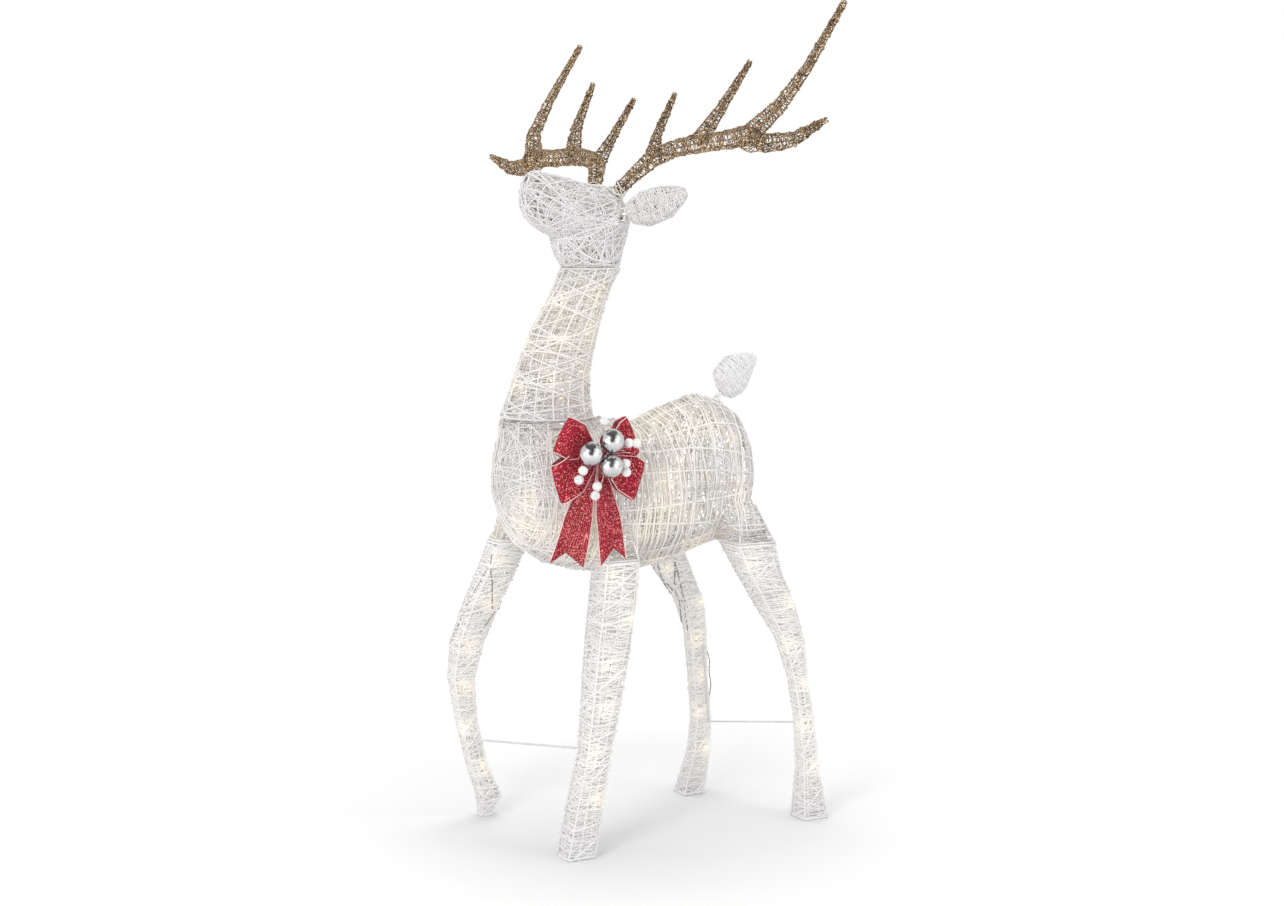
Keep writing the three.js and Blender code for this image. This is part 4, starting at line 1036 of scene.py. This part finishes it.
def branch_skin(stations, mirror):
    """A branch's skin: rings on a smooth line through its stations, closing in at the tip."""
    line = np.array([antler_point(np.array(s[:3]) * MM, mirror) for s in stations])
    sizes = np.array([s[3] for s in stations]) * MM
    length = np.concatenate([[0], np.cumsum(np.linalg.norm(np.diff(line, axis=0), axis=1))])
    along = np.linspace(0, length[-1], int(length[-1] / (3.2 * MM)) + 2)
    path = np.stack([np.interp(along, length, line[:, k]) for k in range(3)], 1)
    for _ in range(3):
        path[1:-1] = (path[:-2] + 2 * path[1:-1] + path[2:]) / 4
    size = np.interp(along, length, sizes) * 0.88 - 2.0 * MM  # leaves room for the cord's own size
    ahead = unit(np.gradient(path, axis=0))
    side = unit(np.cross(ahead, (0.1, 1.0, -0.6)))
    other = np.cross(ahead, side)
    turns = np.arange(14) * 2 * math.pi / 14
    outs = side[:, None] * np.cos(turns)[None, :, None] + other[:, None] * np.sin(turns)[None, :, None]
    return Skin(path[:, None] + outs * size[:, None, None], outs)


def make_antler(side, mirror, looks):
    """One antler: open gold-brown net and strands over each branch, and clear loops at its root."""
    name = f"{side}_antler"
    rng = seeded(name)
    fine, thick = Cords(), Cords()
    for branch, stations in ANTLER.items():
        skin = branch_skin(stations, mirror)
        last = skin.rows - 1
        tones = {"knob": (0.0, 0.3), "beam": (0.0, 0.9)}.get(branch, (0.2, 1.1))
        hoops(fine, skin, rng, np.arange(0.5, last, 2.7), FINE * 0.85, 2.2, (0, 1.6), tones)
        helices(fine, skin, rng, 4, 12, FINE * 0.85, (0.2, 2), tones)
        helices(fine, skin, rng, 3, -12, FINE * 0.85, (0.2, 2), tones)
        if branch == "knob":
            continue
        lengthways(thick, skin, rng, [0.0, 0.25, 0.5, 0.75], STRAND * 0.75, (0, 0.6), 0.02, (0.5, 1))
        hoops(thick, skin, rng, np.arange(4, last, 9), STRAND * 0.7, 2.0, (0.6, 2.4), (0, 0.8))
        strays(fine, skin, rng, int(last / 6), 2.5)
    fine.piece(f"{name}_net", name, looks["gold_cord"], "gold_cord", [f"{name}_wrap"])
    thick.piece(f"{name}_strands", name, looks["gold_cord"], "gold_cord")
    loops = Cords()
    root = antler_point(np.array(ANTLER["beam"][0][:3]) * MM, mirror)
    ahead = unit(antler_point(np.array(ANTLER["beam"][1][:3]) * MM, mirror) - root)
    for k in range(5):
        lean = unit(ahead + rng.normal(size=3) * 0.45)
        start = unit(np.cross(lean, (0, 0, 1)))
        turn = np.linspace(0, 2 * math.pi, 30)
        outs = np.cos(turn)[:, None] * start + np.sin(turn)[:, None] * np.cross(lean, start)
        loops.add(root + ahead * (k * 5 - 6) * MM + outs * rng.uniform(14, 18) * MM, outs, LEAD)
    loops.piece(f"{name}_root_loops", "head", looks["lead"], "clear_plastic")


# ---- bow ----


def bezier(points, count):
    """Points along a cubic curve."""
    a, b, c, d = (np.array(p, float) for p in points)
    t = np.linspace(0, 1, count)[:, None]
    return a * (1 - t) ** 3 + 3 * b * t * (1 - t) ** 2 + 3 * c * t**2 * (1 - t) + d * t**3


def ribbon_mesh(name, grid, flat):
    """A thin ribbon through a grid of points, with its own length and width as coordinates."""
    rows, columns = grid.shape[:2]
    steps = np.stack([np.gradient(grid, axis=k) for k in (0, 1)])
    out = unit(np.cross(steps[0], steps[1]))
    half = 0.35 * MM
    points = np.concatenate([(grid + out * half).reshape(-1, 3), (grid - out * half).reshape(-1, 3)])
    k, i = (v.ravel() for v in np.meshgrid(np.arange(rows - 1), np.arange(columns - 1), indexing="ij"))
    low, high = k * columns + i, (k + 1) * columns + i
    quad = np.stack([low, high, high + 1, low + 1], 1)
    size = rows * columns
    rim = np.concatenate([
        np.arange(columns), np.arange(1, rows) * columns + columns - 1,
        (rows - 1) * columns + np.arange(columns - 2, -1, -1), np.arange(rows - 2, 0, -1) * columns,
    ])
    following = np.roll(rim, -1)
    edge = np.stack([rim, following, following + size, rim + size], 1)
    faces = np.concatenate([quad, quad[:, ::-1] + size, edge])
    mesh = bpy.data.meshes.new(name)
    mesh.from_pydata(points, [], faces)
    mesh.polygons.foreach_set("use_smooth", np.ones(len(faces), bool))
    width, length = flat
    along, across = np.linspace(0, length, rows), np.linspace(0, width, columns)
    place = np.stack(np.meshgrid(along, across, indexing="ij"), -1)
    place = np.concatenate([place.reshape(-1, 2)] * 2)[faces.ravel()]
    mesh.uv_layers.new(name="ribbon").data.foreach_set("uv", place.astype(np.float32).ravel())
    return mesh


def bow_frame(x, y, z):
    """Points about the knot, in millimetres, in the whole reindeer's frame."""
    return np.array(KNOT) + np.stack(np.broadcast_arrays(x, y, z), -1) * MM


def wired_edges(name, grid, looks):
    """The wire covered in pale thread that stiffens both edges of a ribbon."""
    edges = Cords()
    for column in (0, -1):
        line = grid[:, column]
        inner = grid[:, 1 if column == 0 else -2]
        edges.add(line, unit(line - inner), STEM)
    edge = edges.piece(name, "bow", looks["ribbon_edge"], "red_ribbon")
    edge.data.uv_layers["cord"].name = "ribbon"
    return edge


def make_bow_loop(key, turn, size, slant, looks):
    """A loop of ribbon: gathered at the knot, out, round and back, a little crushed."""
    name = f"bow_loop_{key}"
    rng = seeded(name)
    rise = bezier(((14, 2.5), (38, 7), (58, 19.4), (77, 19.4)), 22)
    bend = bezier(((77, 19.4), (90, 19.4), (96.4, 10), (96.4, 0)), 10)
    out = np.concatenate([rise, bend[1:]])
    path = np.concatenate([out, (out * (1, -1))[-2::-1]]) * (size, 1)
    wide = np.linspace(-1, 1, 15)
    reach, puff = path[:, 0][:, None], 0.62 * path[:, 1][:, None]
    half = np.minimum(RIBBON_WIDTH / MM / 2, 0.58 * reach + 1)
    crush = 1.4 * np.sin(reach * 0.11 + rng.uniform(0, 6)) * np.sin(wide * 4.1 + rng.uniform(0, 6))
    pleat = np.clip((40 - reach) / 26, 0, 1) * 3.0 * np.cos(wide * 2.5 * math.pi)
    reach = reach + (slant * half * wide - 3 * wide**2) * np.clip((reach - 36) / 40, 0, 1)
    c, s = math.cos(math.radians(turn)), math.sin(math.radians(turn))
    y, z = reach * c - half * wide * s, reach * s + half * wide * c
    grid = bow_frame(puff + crush + pleat, y, z)
    length = float(np.sum(np.linalg.norm(np.diff(path, axis=0), axis=1))) * MM
    mesh = ribbon_mesh(name, grid, (RIBBON_WIDTH, length))
    piece = settle(mesh, f"{name}_ribbon", "bow", looks["ribbon"], [name])
    edge = wired_edges(f"{name}_wired_edges", grid, looks)


def make_bow_tail(key, outline, looks):
    """A hanging tail of ribbon with a notched end."""
    name = f"bow_tail_{key}"
    rng = seeded(name)
    left, right, notch = (np.array(p, float) for p in outline)
    wide = np.linspace(0, 1, 17)
    top = left[0] + (right[0] - left[0]) * wide[:, None]
    middle = left[1] + (right[1] - left[1]) * wide[:, None]
    ends = np.stack([left[2], notch, right[2]])
    foot = np.stack([np.interp(wide, (0, 0.5, 1), ends[:, k]) for k in (0, 1)], 1)
    first = [top + (middle - top) * t for t in np.linspace(0, 1, 18)]
    grid = np.array(first + [middle + (foot - middle) * t for t in np.linspace(0, 1, 18)[1:]])
    down = np.linspace(0, 1, len(grid))[:, None]
    wave = 3.4 * down * np.sin(down * 7 + rng.uniform(0, 6))
    wave = wave + 2.2 * down * np.cos(wide * 5 + rng.uniform(0, 6))
    depth = TAIL_DEPTH + wave + 8 * np.exp(-down * 12)
    points = bow_frame(depth, grid[..., 0], grid[..., 1])
    length = float(np.linalg.norm(left[2] - left[0])) * MM
    flat = (TAIL_WIDTH, length)
    mesh = ribbon_mesh(name, points, flat)
    piece = settle(mesh, f"{name}_ribbon", "bow", looks["ribbon"], [name])
    edge = wired_edges(f"{name}_wired_edges", points, looks)


def lathe_mesh(name, profile, axis, place, columns=40):
    """A closed turned shape: (height, radius) along an axis, with a pole at each end."""
    axis = unit(np.array(axis, float))
    side = unit(np.cross(axis, (0.31, 0.2, 0.93)))
    other = np.cross(axis, side)
    turns = np.arange(columns) * 2 * math.pi / columns
    around = np.cos(turns)[:, None] * side + np.sin(turns)[:, None] * other
    place = np.array(place)
    rings = [place + axis * h + around * r for h, r in profile[1:-1]]
    poles = [place + axis * profile[k][0] for k in (0, -1)]
    points = [poles[0], *np.concatenate(rings), poles[1]]
    faces, last = [], len(points) - 1
    for i in range(columns):
        j = (i + 1) % columns
        faces.append((0, 1 + j, 1 + i))
        for k in range(len(rings) - 1):
            low, high = 1 + k * columns, 1 + (k + 1) * columns
            faces.append((low + i, low + j, high + j, high + i))
        top = 1 + (len(rings) - 1) * columns
        faces.append((top + i, top + j, last))
    mesh = bpy.data.meshes.new(name)
    mesh.from_pydata([tuple(p) for p in points], [], faces)
    mesh.polygons.foreach_set("use_smooth", np.ones(len(faces), bool))
    return mesh


def make_knot(looks):
    """The crossing of ribbon that gathers the loops: a short crumpled band."""
    rng = seeded("knot")
    turns = np.linspace(0, 2 * math.pi, 60)
    wide = np.linspace(-1, 1, 15)[None, :]
    crumple = 0.8 * np.sin(turns * 5 + rng.uniform(0, 6))[:, None] * np.cos(wide * 6)
    radius = 11.0 - 2.2 * wide**2 + crumple + 0.9 * np.cos(wide * 3 * math.pi)
    grid = bow_frame(radius * np.cos(turns)[:, None], wide * 11.5, radius * np.sin(turns)[:, None])
    mesh = ribbon_mesh("bow_knot", grid, KNOT_BAND)
    piece = settle(mesh, "bow_knot_ribbon", "bow", looks["ribbon"], ["bow_knot"])


def make_ball(key, place, looks):
    """A plated ball with its cap turned to the knot, on a wire pick."""
    name, (y, z) = f"ball_{key}", place
    middle = bow_frame(BALL["x"], y, z)
    back = unit(bow_frame(13, 0.1 * y, 0.1 * z) - middle)
    radius = BALL["radius"] * MM
    angles = np.linspace(0, math.pi, 30)
    profile = [(-radius * math.cos(a), radius * math.sin(a)) for a in angles]
    mesh = lathe_mesh(name, profile, back, middle, 56)
    settle(mesh, f"{name}_globe", "bow", looks["silver"], [name])
    collar = [(h * MM, r * MM) for h, r in BALL_CAP]
    cap = lathe_mesh(f"{name}_cap", collar, back, middle, 24)
    settle(cap, f"{name}_cap", "bow", looks["bright_wire"])
    pick = Cords()
    end = bow_frame(12, 0.2 * y, 0.2 * z)
    start = middle + back * 23.5 * MM
    side = unit(np.cross(back, (0, 0, 1.0)))
    pick.add([start, (start + end) / 2, end], [side] * 3, PICK)
    pick.piece(f"{name}_pick", "bow", looks["bright_wire"], "bright_wire")


def berry_mesh(name, middle, back):
    """A berry, dimpled where its stem goes in."""
    radius = BERRY["radius"] * MM
    profile = [(radius * 0.80, 0)]
    for angle in np.linspace(0.3, math.pi, 16):
        profile.append((radius * math.cos(angle), radius * math.sin(angle)))
    return lathe_mesh(name, profile[::-1], back, middle, 24)


def joined_mesh(name, meshes):
    """Several meshes as one."""
    points, faces = [], []
    for mesh in meshes:
        start = len(points)
        points += [tuple(v.co) for v in mesh.vertices]
        faces += [[start + v for v in p.vertices] for p in mesh.polygons]
        bpy.data.meshes.remove(mesh)
    whole = bpy.data.meshes.new(name)
    whole.from_pydata(points, [], faces)
    whole.polygons.foreach_set("use_smooth", np.ones(len(faces), bool))
    return whole


def make_spray(key, berries, looks):
    """Berries on bent bright stems that spread from the knot."""
    name = f"berry_spray_{key}"
    rng = seeded(name)
    stems, globes = Cords(), []
    for y, z in berries:
        reach = math.hypot(y, z)
        knot = bow_frame(12.5, 7 * y / reach, 7 * z / reach)
        bend = bow_frame(19 + rng.uniform(-1, 2), 0.55 * y + rng.uniform(-2, 2), 0.55 * z)
        middle = bow_frame(BERRY["x"], y, z)
        back = unit(bend - middle)
        path = bezier((knot, (knot + bend) / 2, bend, middle + back * 7 * MM), 12)
        stems.add(path, [(1.0, 0.1, 0.2)] * len(path), STEM)
        if (y, z) in SILVER_BERRIES:
            silver = berry_mesh(f"{name}_silver", middle, back)
            settle(silver, f"{name}_silver", "bow", looks["grey_berry"])
        else:
            globes.append(berry_mesh(f"{name}_{len(globes)}", middle, back))
    settle(joined_mesh(name, globes), f"{name}_berries", "bow", looks["berry"], [name])
    stems.piece(f"{name}_stems", "bow", looks["bright_wire"], "bright_wire")


def make_loose_stems(looks):
    """Thin bare wires that spread between the berries, and a longer one that droops."""
    rng = seeded("loose stems")
    stems, along = Cords(), [(1.0, 0.2, 0.1)] * 4
    depth, droop = np.array([12.5, 17, 24, 30]), np.array([0, 0, 1, 4])
    for angle in np.linspace(0.4, 2 * math.pi + 0.2, 9):
        reach = rng.uniform(34, 52)
        out = np.array([6, 0.4 * reach, 0.8 * reach, reach])
        stems.add(bow_frame(depth, math.cos(angle) * out, math.sin(angle) * out - droop), along, BARE_STEM)
    long_one = np.array([(16, 2, -12), (27, -6, -34), (29, -15, -56), (28, -25, -77)])
    stems.add(bow_frame(*long_one.T), along, BARE_STEM * 1.25)
    stems.piece("bow_loose_stems", "bow", looks["bright_wire"], "bright_wire")


def make_bow(looks):
    """Every piece of the bow, from the knot outwards."""
    make_knot(looks)
    for key, place in BOW_LOOPS.items():
        make_bow_loop(key, *place, looks)
    for key, outline in BOW_TAILS.items():
        make_bow_tail(key, outline, looks)
    for key, place in BALLS.items():
        make_ball(key, place, looks)
    for key, berries in SPRAYS.items():
        make_spray(key, berries, looks)
    make_loose_stems(looks)


# ---- frame wires that stay as the frame has them ----


def finish_frame(looks):
    """Coated wire, clear sockets and the tie keep their shapes and get their finishes."""
    for name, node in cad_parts.items():
        if node.hide_render:
            continue
        look = looks["frame"]
        if name == "power_inlet" or name.endswith("socket"):
            look = looks["clear"]
        elif name == "bow_tie_wire":
            look = looks["bright_wire"]
        elif name.endswith("antler_frame"):
            look = looks["gold_wire"]
        elif name.endswith("brace"):
            look = looks["brace"]
        node.data.materials.clear()
        node.data.materials.append(look)


# ---- floor, light and camera ----


def make_floor(looks):
    """A plain floor under the feet."""
    mesh = bpy.data.meshes.new("floor")
    mesh.from_pydata([(-9, -9, 0), (9, -9, 0), (9, 9, 0), (-9, 9, 0)], [], [(0, 1, 2, 3)])
    mesh.materials.append(looks["floor"])
    floor = bpy.data.objects.new("floor", mesh)
    bpy.context.scene.collection.objects.link(floor)


def area_light(name, place, aim, size, power):
    """A soft box aimed at a point."""
    light = bpy.data.lights.new(name, "AREA")
    light.energy, light.size = power, size
    lamp = bpy.data.objects.new(name, light)
    lamp.location = place
    lamp.rotation_euler = (Vector(aim) - Vector(place)).to_track_quat("-Z", "Y").to_euler()
    bpy.context.scene.collection.objects.link(lamp)


def make_studio():
    """Soft light all round, with boxes high and low in front, at the side and overhead."""
    scene = bpy.context.scene
    world = bpy.data.worlds.new("studio")
    world.use_nodes = True
    world.node_tree.nodes["Background"].inputs["Color"].default_value = (1, 1, 1, 1)
    world.node_tree.nodes["Background"].inputs["Strength"].default_value = 1.0
    scene.world = world
    aim = (0.05, 0.0, 0.8)
    area_light("key_box", (2.6, -3.4, 3.2), aim, 1.6, 70)
    area_light("side_box", (2.8, 2.6, 2.4), aim, 1.8, 22)
    area_light("low_box", (2.4, -2.9, 0.7), (0.0, 0.0, 0.45), 1.4, 16)
    area_light("top_box", (-0.6, 0.2, 3.6), aim, 2.0, 40)
    scene.view_settings.view_transform = "Standard"


def make_card(name, outline, look):
    """A card that only mirror finishes see."""
    mesh = bpy.data.meshes.new(name)
    mesh.from_pydata(outline, [], [tuple(range(len(outline)))])
    mesh.materials.append(look)
    card = bpy.data.objects.new(name, mesh)
    card.visible_camera = card.visible_diffuse = card.visible_shadow = card.visible_transmission = False
    bpy.context.scene.collection.objects.link(card)


def make_cards(looks):
    """A dark card that widens from beside the camera to behind overhead, and a bright one either side."""
    left = [(1.62, -1.40, 0.45), (0.70, -1.50, 2.30), (-0.30, -1.40, 2.30), (-1.30, -0.50, 2.30)]
    right = [(2.06, -0.47, 0.45), (1.50, 0.35, 2.30), (0.95, 0.95, 2.30), (-0.50, 1.20, 2.30)]
    for k in range(3):
        make_card(f"dark_card_{k}", [left[k], right[k], right[k + 1], left[k + 1]], looks["flag"])
    bright = {"right": ((2.16, 0.30), (1.76, 1.14)), "left": ((0.17, -2.20), (1.07, -2.00))}
    for side, (start, end) in bright.items():
        outline = [(*start, 0.3), (*end, 0.3), (*end, 1.3), (*start, 1.3)]
        make_card(f"bright_card_{side}", outline, looks["reflector"])


def make_camera():
    """The camera, at shoulder height off the left front quarter."""
    data = bpy.data.cameras.new("camera")
    data.lens, data.sensor_width = 57.53, 36.0
    camera = bpy.data.objects.new("camera", data)
    camera.location = (3.444, -1.724, 1.100)
    camera.rotation_euler = [math.radians(a) for a in (84.02, 0, 63.01)]
    bpy.context.scene.collection.objects.link(camera)
    bpy.context.scene.camera = camera


def corners(box):
    return [list(box[0]), list(box[1])]


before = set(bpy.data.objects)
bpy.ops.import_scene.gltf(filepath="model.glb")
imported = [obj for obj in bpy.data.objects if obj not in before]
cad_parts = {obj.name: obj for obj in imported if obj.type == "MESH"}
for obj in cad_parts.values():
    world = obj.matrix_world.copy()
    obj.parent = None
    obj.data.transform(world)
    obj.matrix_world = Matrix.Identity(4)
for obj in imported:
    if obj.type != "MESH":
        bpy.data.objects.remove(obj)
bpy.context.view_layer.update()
build_groups()
finishes = all_materials()
make_camera()
make_studio()
make_floor(finishes)
make_cards(finishes)
make_trunk(finishes)
make_neck(finishes)
make_head(finishes)
make_ears(finishes)
make_leaf("tail", finishes["pale_cord"], 0.5, *TAIL)
make_antler("left", 1, finishes)
make_antler("right", -1, finishes)
for leg_name in LEGS:
    make_leg(leg_name, finishes)
make_bow(finishes)
finish_frame(finishes)
